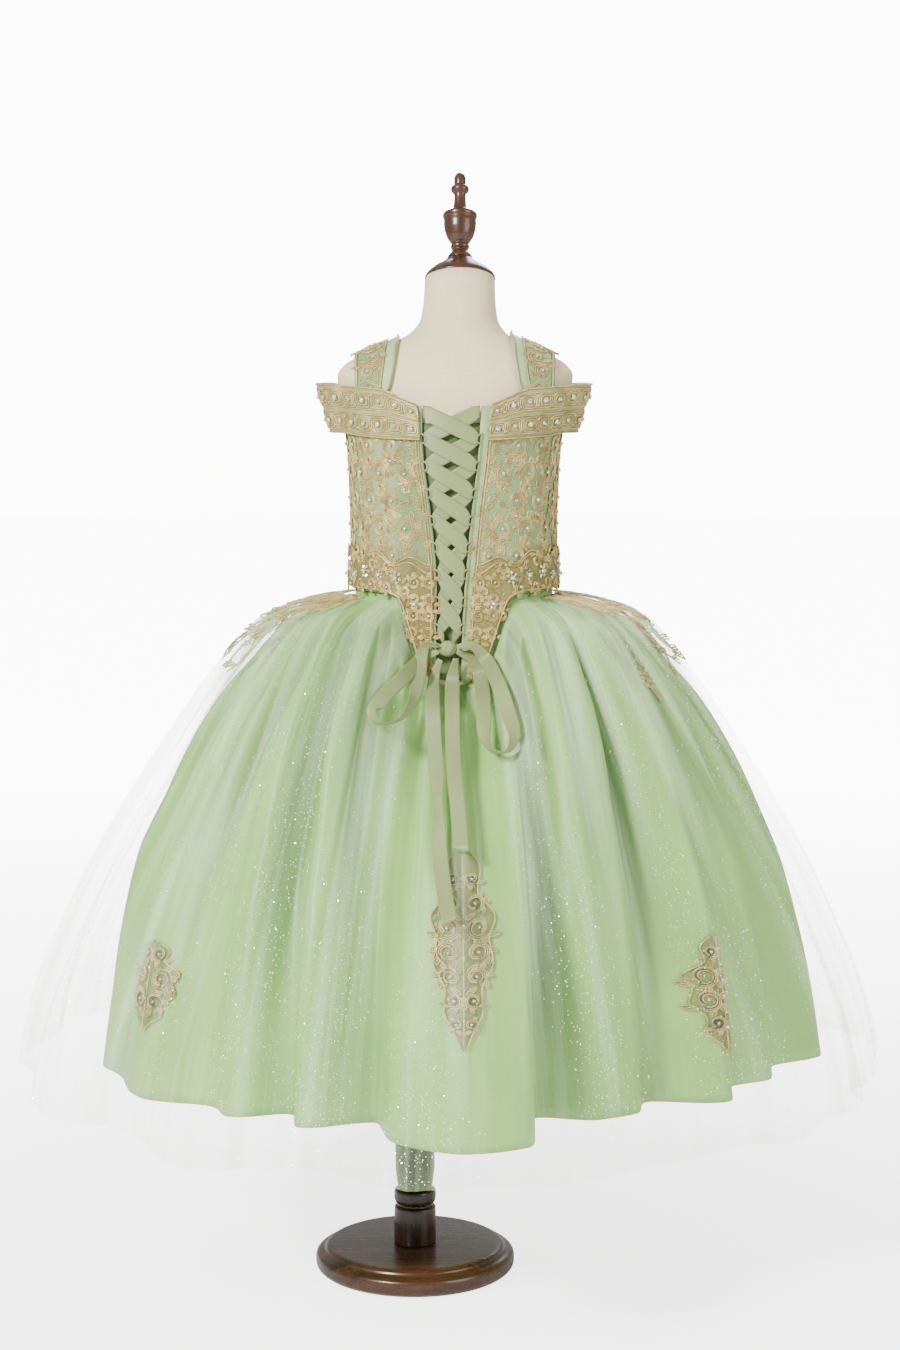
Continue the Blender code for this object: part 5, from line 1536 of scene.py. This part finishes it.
# Each motif: its angle, the shares of the way down at its top and foot, half its width, outline.
MOTIFS = (
    ("skirt_motif_back", 2.0, 0.33, 0.76, 0.031, MOTIF_OUTLINE),
    ("skirt_motif_back_left", -60.0, 0.68, 0.86, 0.036, MOTIF_OUTLINE),
    ("skirt_motif_back_right", 55.0, 0.66, 0.90, 0.032, MOTIF_OUTLINE),
    ("skirt_motif_front", 180.0, 0.42, 0.80, 0.031, MOTIF_OUTLINE),
    ("skirt_motif_front_left", -122.0, 0.66, 0.88, 0.036, MOTIF_OUTLINE),
    ("skirt_motif_front_right", 122.0, 0.66, 0.88, 0.036, MOTIF_OUTLINE),
    ("hip_spray_back_left", -73.0, 0.034, 0.150, 0.026, SPRAY_OUTLINE),
    ("hip_spray_back_right", 72.0, 0.034, 0.215, 0.030, SPRAY_OUTLINE),
    ("hip_spray_front_left", -122.0, 0.034, 0.190, 0.028, SPRAY_OUTLINE),
    ("hip_spray_front_right", 122.0, 0.034, 0.190, 0.028, SPRAY_OUTLINE),
)
MOTIF_ROWS, MOTIF_OUT, MOTIF_CROWN = np.linspace(0, 1, 60), 1.9 * MM, 0.9 * MM
MOTIF_CORD, MOTIF_SHADE_BED, MOTIF_GEM = 0.85 * MM, 2.0 * MM, 2.2 * MM
CORDS_OUT, SHADE_BEDS_OUT, GEMS_OUT = 3.4 * MM, 2.2 * MM, 0.6 * MM
SCROLL_STEP, STEM_STEP, SCROLL_SHARE, SCROLL_MOST, SCROLL_TILT = 0.024, 0.016, 0.46, 0.0120, 1.2

for name, centre, top, foot, half_width, outline in MOTIFS:
    share, along = np.meshgrid(np.linspace(-1, 1, 40), MOTIF_ROWS)
    middle = on_satin(np.full(MOTIF_ROWS.shape, centre), top + (foot - top) * MOTIF_ROWS)
    radius = np.hypot(middle[:, 0], middle[:, 1])[:, None]
    length = float(np.linalg.norm(middle[-1] - middle[0]))
    width = np.degrees(half_width * read(outline, along) / radius)
    crown = MOTIF_CROWN * (1 - share ** 2)
    grid = on_satin(centre + share * width, top + (foot - top) * along, MOTIF_OUT + crown)
    piece = grid_piece(name + "_gold", grid, STITCHED["motif"], 1.2 * MM)
    CUTS[piece.name] = (2 * half_width, run(middle)[-1], grid_area(grid))
    keep(piece, "gold_cord", name, held="laid")

    def on_motif(x, y, out=CORDS_OUT):
        """Place by metres across and metres down from the motif's top."""
        share = np.clip(np.asarray(y) / length, 0, 1)
        level = np.interp(share, MOTIF_ROWS, radius[:, 0])
        angle = centre + np.degrees(np.asarray(x) / level)
        return on_satin(angle, top + (foot - top) * share, out)

    lines, shade_beds, gems = [], [], []
    for side in (-1, 1):
        rim = np.linspace(0.01, 0.99, 60)
        lines.append(on_motif(side * half_width * read(outline, rim) * 0.97, rim * length))
        for place in np.arange(0.14, 0.90, SCROLL_STEP / length):
            reach = half_width * read(outline, place)
            size = min(SCROLL_SHARE * reach, SCROLL_MOST)
            hand = 1 if int(place * 40) % 2 else -1
            spot = (side * reach * 0.50, place * length)
            # Dark underlay under each scroll: painted shade between its cords.
            under = shade_bed(0.0, 0.0, size, SCROLL_TILT, hand) * (side, 1) + spot
            shade_beds.append(on_motif(under[:, 0], under[:, 1], SHADE_BEDS_OUT))
            shape = scroll(0.0, 0.0, size, SCROLL_TILT, hand)
            lines += fit([line * (side, 1) + spot for line in shape], on_motif)
            gems.append((side * reach * 0.52, place * length, 0.8))
    lines.append(on_motif(np.zeros(40), np.linspace(0.02, 0.98, 40) * length))
    for place in np.arange(0.12, 0.9, STEM_STEP / length):
        gems.append((0.0, place * length, 1.0 if int(place * 60) % 2 else 0.65))
    out = np.array([math.sin(math.radians(centre)), -math.cos(math.radians(centre)), 0.25])
    places = [(on_motif(np.array([x]), np.array([y]))[0] + out * GEMS_OUT, out, size * MOTIF_GEM)
              for x, y, size in gems]
    keep(cords(name + "_cords", lines, MOTIF_CORD), "gold_cord")
    keep(cords(name + "_beds", shade_beds, MOTIF_SHADE_BED, PAINTED_SHADE_BED), "gold_cord")
    keep(stones(name + "_crystals", places), "gold_cord")

# %% [markdown]
# ## Leaves at the hips
# Strands of corded leaves leave the waist applique and lie over the gathers of the net, so the
# gold seems to grow down onto the skirt.

# %% Leaf strands
LEAF_RADIUS, SKIRT_LENGTH, LEAF_SIZE, LEAF_OPEN = 0.15, 0.50, (0.0120, 0.0052), 0.7
STRAND_POINTS, STRAND_OUT, STRAND_CORD = 17, 1.0 * MM, 0.85 * MM
# Strands: first angle, last angle, share of the way down at the end. The front has them too.
STRANDS = ((40.0, 63.0, 0.030), (50.0, 72.0, 0.085), (64.0, 80.0, 0.160), (76.0, 88.0, 0.130))
lines = []
for side in (-1, 1):
    for toward in (1, -1):
        for first, last, depth in STRANDS:
            t = np.linspace(0, 1, STRAND_POINTS)
            angle = first + (last - first) * t ** 0.8
            angle = side * (angle if toward > 0 else 180 - angle)
            down = 0.003 + depth * t ** 1.6
            lines.append(on_net(angle, down, STRAND_OUT))
            for spot in range(1, STRAND_POINTS - 1, 2):
                hand = 1 if spot % 4 == 1 else -1
                heading = math.atan2(-0.2 - 3.0 * depth, side * toward)
                for line in leaf(0.0, 0.0, *LEAF_SIZE, heading + LEAF_OPEN * hand):
                    around = angle[spot] + np.degrees(line[:, 0] / LEAF_RADIUS)
                    low = np.clip(down[spot] - line[:, 1] / SKIRT_LENGTH, 0.001, 1)
                    lines.append(on_net(around, low, STRAND_OUT))
keep(cords("hip_leaves", lines, STRAND_CORD), "gold_cord")

# %% [markdown]
# ## Laces
# One flat ribbon crosses from loop to loop and narrows where a loop pinches it. The runs that
# fall to the right lie on top. Small cord loops stand out of both edges.

# %% Laces and loops
RIBBON_WIDTH, LACE_SPACING, LACE_TOP, LACE_ROWS = 0.0150, 0.0277, 0.930, 8
LACE_OVER, LACE_UNDER, LACE_EDGE, TIP_INSET = 10.2 * MM, 8.0 * MM, 9.1 * MM, 1.2 * MM
# A loop pinches a run to this share of its width, over this share of its length.
PINCH, PINCH_LENGTH, LACE_COLUMNS, LACE_LINES = 0.70, 0.14, 22, 9
LAST_SPAN, RIBBON_THICK = 0.0125, 0.6 * MM
LOOP_HALF, LOOP_OUT, LOOP_CORD = 0.0052, 8.4 * MM, 0.95 * MM
KNOT = (-0.002, 0.6885)


def lace_run(x, height, next_x, next_height, out, span):
    """Ribbon of one run between two tips, as lines from its upper edge to its lower edge."""
    share = np.linspace(0, 1, LACE_COLUMNS)
    middle = height + (next_height - height) * share
    inner = np.clip(np.minimum(share, 1 - share) / PINCH_LENGTH, 0, 1)
    pinch = PINCH + (1 - PINCH) * inner * inner * (3 - 2 * inner)
    lift = out - (out - LACE_EDGE) * np.abs(2 * share - 1) ** 3
    start = (x - read(OPENING, height, 1)) / read(OPENING, height, 2)
    end = (next_x - read(OPENING, next_height, 1)) / read(OPENING, next_height, 2)
    across = start + (end - start) * share
    rows = []
    for way in np.linspace(0.5, -0.5, LACE_LINES):
        place = middle + way * span * pinch
        place_x = read(OPENING, place, 1) + across * read(OPENING, place, 2)
        crease = 0.35 * MM * np.cos(way * 14) * (1 - pinch) * 2
        rows.append(form(form_angle(place_x, place, 9.0 * MM), place, lift + crease))
    return np.array(rows)


def lace_tip(row, side):
    height = LACE_TOP - row * LACE_SPACING
    return float(opening_x(height, side)) - side * TIP_INSET, height


for name, side in (("lace_left", -1), ("lace_right", 1)):
    runs, at, level = [], side, {-1: LACE_OVER, 1: LACE_UNDER}
    for row in range(LACE_ROWS):
        x, height = lace_tip(row, at)
        next_x, next_height = lace_tip(row + 1, -at)
        slope = (next_height - height) / (next_x - x)
        span = min(1.04 * RIBBON_WIDTH * math.hypot(1.0, slope), 0.80 * LACE_SPACING)
        runs.append(lace_run(x, height, next_x, next_height, level[at], span))
        at = -at
    x, height = lace_tip(LACE_ROWS, at)
    runs.append(lace_run(x, height, KNOT[0] + at * 4 * MM, height - 0.011, level[at], LAST_SPAN))
    points, faces, uvs = [], [], []
    for grid in runs:
        if grid[0, 0, 0] > grid[0, -1, 0]:
            grid = grid[:, ::-1]
        rows, columns = grid.shape[:2]
        start = len(points)
        along, down = run(grid[rows // 2]), run(grid[:, columns // 2])
        points += grid.reshape(-1, 3).tolist()
        uvs += [(along[j], -down[i]) for i in range(rows) for j in range(columns)]
        faces += (start + grid_faces(rows, columns)).tolist()
    mesh = bpy.data.meshes.new(name + "_ribbon")
    mesh.from_pydata(points, [], faces)
    cloth_map(mesh, [uvs[loop.vertex_index] for loop in mesh.loops])
    piece = new_object(name + "_ribbon", mesh, RIBBON)
    thicken(piece, RIBBON_THICK, 0.0)
    lengths = [run(grid[LACE_LINES // 2])[-1] for grid in runs]
    CUTS[piece.name] = (sum(lengths), RIBBON_WIDTH, sum(map(grid_area, runs)))
    keep(piece, "ribbon", name, held="stretched")

for name, side in (("lace_loops_left", -1), ("lace_loops_right", 1)):
    lines = []
    for row in range(1, LACE_ROWS + 1):
        height = LACE_TOP - row * LACE_SPACING
        turn = np.linspace(-math.pi * 0.5, math.pi * 0.5, 12)
        z = height + LOOP_HALF * np.sin(turn)
        x = opening_x(z, side) + side * (3.2 * MM - 6.4 * MM * np.cos(turn))
        out = LOOP_OUT + 1.5 * MM * np.cos(turn)
        lines.append(form(form_angle(x, z, LOOP_OUT), z, out))
    z = np.linspace(LACE_TOP - 0.024, LACE_TOP - LACE_ROWS * LACE_SPACING, 50)
    lines.append(form(form_angle(opening_x(z, side) + side * 1.9 * MM, z, 8.0 * MM), z, 8.0 * MM))
    keep(cords(name + "_rouleau", lines, LOOP_CORD, RIBBON), "ribbon", name)

# %% [markdown]
# ## Bow
# The laces end in a bow. Its loops are one strip each, folded back at the tip, and the knot is a
# wrap of ribbon with creases that run into it. Their paths are chosen from the photo, and
# their depth is found by rays that look for the net behind them.

# %% Bow and knot
KNOT_OUT, KNOT_SIZE = 0.0150, (0.0088, 0.0052, 0.0080)
# Paths: x, height, lift off the cloth, and lean in degrees.
LOOP_LEFT = (
    (-0.0113, 0.6860, 0.0060, 10), (-0.0270, 0.6790, 0.0040, 0), (-0.0480, 0.6640, 0.0030, 0),
    (-0.0670, 0.6480, 0.0035, 15), (-0.0765, 0.6370, 0.0070, 45), (-0.0700, 0.6270, 0.0120, 70),
    (-0.0520, 0.6280, 0.0150, 70), (-0.0380, 0.6420, 0.0150, 40), (-0.0320, 0.6640, 0.0140, 10),
    (-0.0290, 0.6820, 0.0120, 0), (-0.0235, 0.6930, 0.0120, 25), (-0.0120, 0.6920, 0.0130, 40),
)
LOOP_RIGHT = (
    (0.0062, 0.6862, 0.0052, 10), (0.0240, 0.6760, 0.0035, 0), (0.0320, 0.6540, 0.0030, 0),
    (0.0340, 0.6280, 0.0030, 0), (0.0350, 0.6100, 0.0060, 30), (0.0430, 0.5990, 0.0110, 70),
    (0.0560, 0.5990, 0.0150, 70), (0.0630, 0.6120, 0.0150, 40), (0.0580, 0.6340, 0.0130, 10),
    (0.0490, 0.6580, 0.0120, 0), (0.0350, 0.6800, 0.0120, 10), (0.0210, 0.6930, 0.0120, 35),
    (0.0066, 0.6912, 0.0112, 45),
)
TAIL_LONG = (
    (-0.0100, 0.6782, 0.0115, 30), (-0.0160, 0.6600, 0.0090, 0), (-0.0165, 0.6180, 0.0050, 0),
    (-0.0130, 0.5760, 0.0050, 20), (-0.0110, 0.5480, 0.0070, 60), (-0.0105, 0.5200, 0.0060, 20),
    (-0.0070, 0.4900, 0.0050, 0), (-0.0005, 0.4560, 0.0050, 0),
)
TAIL_SHORT = (
    (0.0060, 0.6790, 0.0090, -30), (0.0030, 0.6600, 0.0060, 0), (0.0025, 0.6180, 0.0050, 0),
    (0.0045, 0.5760, 0.0050, 0), (0.0085, 0.5400, 0.0050, 0), (0.0105, 0.5150, 0.0050, 0),
)
net_tree = BVHTree.FromPolygons([Vector(point) for point in net_grid.reshape(-1, 3)],
                                grid_faces(*net_grid.shape[:2]).tolist())


def back_surface(x, height):
    """Outermost cloth round about a place of the back."""
    reach = 0.6 * RIBBON_WIDTH
    nearest = float(form(form_angle(x, height), height, 9.8 * MM)[1])
    for across, up in ((0, 0), (-reach, 0), (reach, 0), (0, -reach), (0, reach)):
        hit = net_tree.ray_cast(Vector((x + across, -1.0, height + up)), Vector((0, 1, 0)))[0]
        if hit is not None and hit[1] < 0:
            nearest = min(nearest, hit[1])
    return nearest


def ribbon_path(rows, steps):
    """Middle line of a strip over the cloth, tightened across small hollows, and its leans."""
    path = smooth_path(rows, steps)
    reach = np.array([back_surface(x, height) - lift for x, height, lift, _ in path])
    spanned = reach.copy()
    spanned[1:-1] = np.minimum(reach[1:-1], 0.5 * (reach[:-2] + reach[2:]))
    spanned[1:-1] = 0.25 * (spanned[:-2] + 2 * spanned[1:-1] + spanned[2:])
    return np.stack([path[:, 0], spanned, path[:, 1]], axis=1), np.radians(path[:, 3])


CUP, TAPER = 0.10, 0.16


def ribbon_grid(rows, steps, ends=(1.0, 1.0), slant=0.0):
    """Strip along a path, face on to the viewer, pinched at the knot and a little cupped."""
    centres, leans = ribbon_path(rows, steps)
    tangents = np.gradient(centres, axis=0)
    tangents /= np.linalg.norm(tangents, axis=1, keepdims=True)
    flat = np.cross(tangents, (0.0, -1.0, 0.0))
    flat /= np.linalg.norm(flat, axis=1, keepdims=True)
    raised = np.cross(flat, tangents)
    side = flat * np.cos(leans)[:, None] - raised * np.sin(leans)[:, None]
    normal = np.cross(tangents, side)
    t = np.linspace(0, 1, steps)
    width = 1.0
    for end, way in zip(ends, (t, 1 - t)):
        width = width * np.clip(end + (1 - end) * way / TAPER, 0, 1)
    grid = []
    for way in np.linspace(-0.5, 0.5, 11):
        bow = CUP * RIBBON_WIDTH * (1 - (2 * way) ** 2) * (0.4 + 0.6 * (1 - width))
        crease = 0.5 * MM * np.cos(way * 19) * (1 - width)
        line = centres + side * (way * RIBBON_WIDTH * width)[:, None]
        line = line - normal * (bow * np.sin(9 * t + 2) * 0.5 + crease)[:, None]
        line[-1] += tangents[-1] * way * slant
        grid.append(line)
    return np.array(grid)


def ribbon_piece(name, rows, steps, **shape):
    piece = grid_piece(name, ribbon_grid(rows, steps, **shape), RIBBON)
    thicken(piece, RIBBON_THICK, 0.0)
    return piece


for name, rows in (("bow_loop_left", LOOP_LEFT), ("bow_loop_right", LOOP_RIGHT)):
    keep(ribbon_piece(name + "_ribbon", rows, 90, ends=(0.35, 0.35)), "ribbon", name,
         held="folded")


def make_knot():
    around, over = np.meshgrid(np.linspace(0, 2 * math.pi, 49), np.linspace(0, math.pi, 26))
    ridge = 1 + 0.07 * np.sin(around * 7 + 2 * over) * np.sin(over)
    x = KNOT_SIZE[0] * np.sin(over) * np.cos(around) * ridge
    z = KNOT_SIZE[2] * np.cos(over) * (1 + 0.04 * np.sin(5 * around))
    y = KNOT_SIZE[1] * np.sin(over) * np.sin(around) * ridge
    grid = np.stack([x, y, z], axis=-1) + form(form_angle(*KNOT), KNOT[1], KNOT_OUT)
    grid[:, -1] = grid[:, 0]
    return grid_piece("bow_knot_ribbon", grid, RIBBON, closed=True)


keep(make_knot(), "ribbon", "bow_knot")

# %% [markdown]
# ## The two tails
# The ribbon's free ends hang over the skirt, limp and cut on a slant. Each one's length from end
# to end, as the photo shows it, is printed.

# %% Tails
for name, rows, steps, slant in (("tail_long", TAIL_LONG, 70, 5 * MM),
                                 ("tail_short", TAIL_SHORT, 50, -5 * MM)):
    centres, _ = ribbon_path(rows, steps)
    tail = ribbon_piece(name + "_ribbon", rows, steps, ends=(0.4, 1.0), slant=slant)
    keep(tail, "ribbon", name)
    length = float(run(centres)[-1])
    print(name, "length:", round(length, 3))

# %% [markdown]
# ## Light and floor
# A lamp up to the left lights the folds, a wider and weaker one fills from the right, a third
# lights the front, and a pale world keeps the shadows open. The floor is a wide pale disc that
# shines a little more with distance, so that it meets the wall without a line.

# %% Lamps, wall and floor
def make_lamp(name, place, aim, size, power):
    lamp = bpy.data.lights.new(name, "AREA")
    lamp.shape = "DISK"
    lamp.size = size
    lamp.energy = power
    holder = add_object(name, lamp)
    holder.location = place
    way = Vector(aim) - Vector(place)
    holder.rotation_euler = way.to_track_quat("-Z", "Y").to_euler()
    return holder


make_lamp("key_lamp", (-2.1, -2.7, 2.7), (0, 0, 0.6), 0.8, 300.0)
make_lamp("fill_lamp", (2.8, -2.0, 1.8), (0, 0, 0.6), 2.2, 70.0)
make_lamp("back_lamp", (0.6, 2.8, 2.6), (0, 0, 0.7), 2.0, 70.0)

# The world lights the gown softly, and shows itself to the eye as a bright studio wall.
SOFT_LIGHT, WALL_SHOWN = 0.62, 12.5
world = bpy.data.worlds.new("studio")
bpy.context.scene.world = world
world.use_nodes = True
backdrop = world.node_tree.nodes["Background"]
backdrop.inputs["Color"].default_value = srgb(252, 252, 250)
path = world.node_tree.nodes.new("ShaderNodeLightPath")
level = world.node_tree.nodes.new("ShaderNodeMapRange")
level.inputs["To Min"].default_value = SOFT_LIGHT
level.inputs["To Max"].default_value = WALL_SHOWN
world.node_tree.links.new(path.outputs["Is Camera Ray"], level.inputs["Value"])
world.node_tree.links.new(level.outputs[0], backdrop.inputs["Strength"])

floor_paint = Paint("pale_floor", Roughness=0.9, Emission_Strength=1.0)
floor_place = floor_paint.place("Object")
floor_tone = floor_paint.noise(floor_place, 1.4, 2.0)
away = floor_paint.node("VectorMath", {"operation": "LENGTH"}, {0: floor_place}, output=1)
glow = away.between(0.5, 3.5, 3.0, 10.5)
floor_paint.set(Base_Color=floor_paint.mix(floor_tone, srgb(244, 244, 242), srgb(250, 250, 249)))
seen = floor_paint.node("LightPath") * glow
floor_paint.set(Emission_Color=floor_paint.node("CombineXYZ", None, {0: seen, 1: seen, 2: seen}))
FLOOR_RADIUS, FLOOR_SIDES = 14, 96
angles = np.linspace(0, 2 * math.pi, FLOOR_SIDES, endpoint=False)
rim = [(FLOOR_RADIUS * math.cos(a), FLOOR_RADIUS * math.sin(a), 0.0) for a in angles]
floor_mesh = bpy.data.meshes.new("floor")
floor_mesh.from_pydata(rim, [], [tuple(range(FLOOR_SIDES))])
floor = new_object("floor", floor_mesh, floor_paint.material)
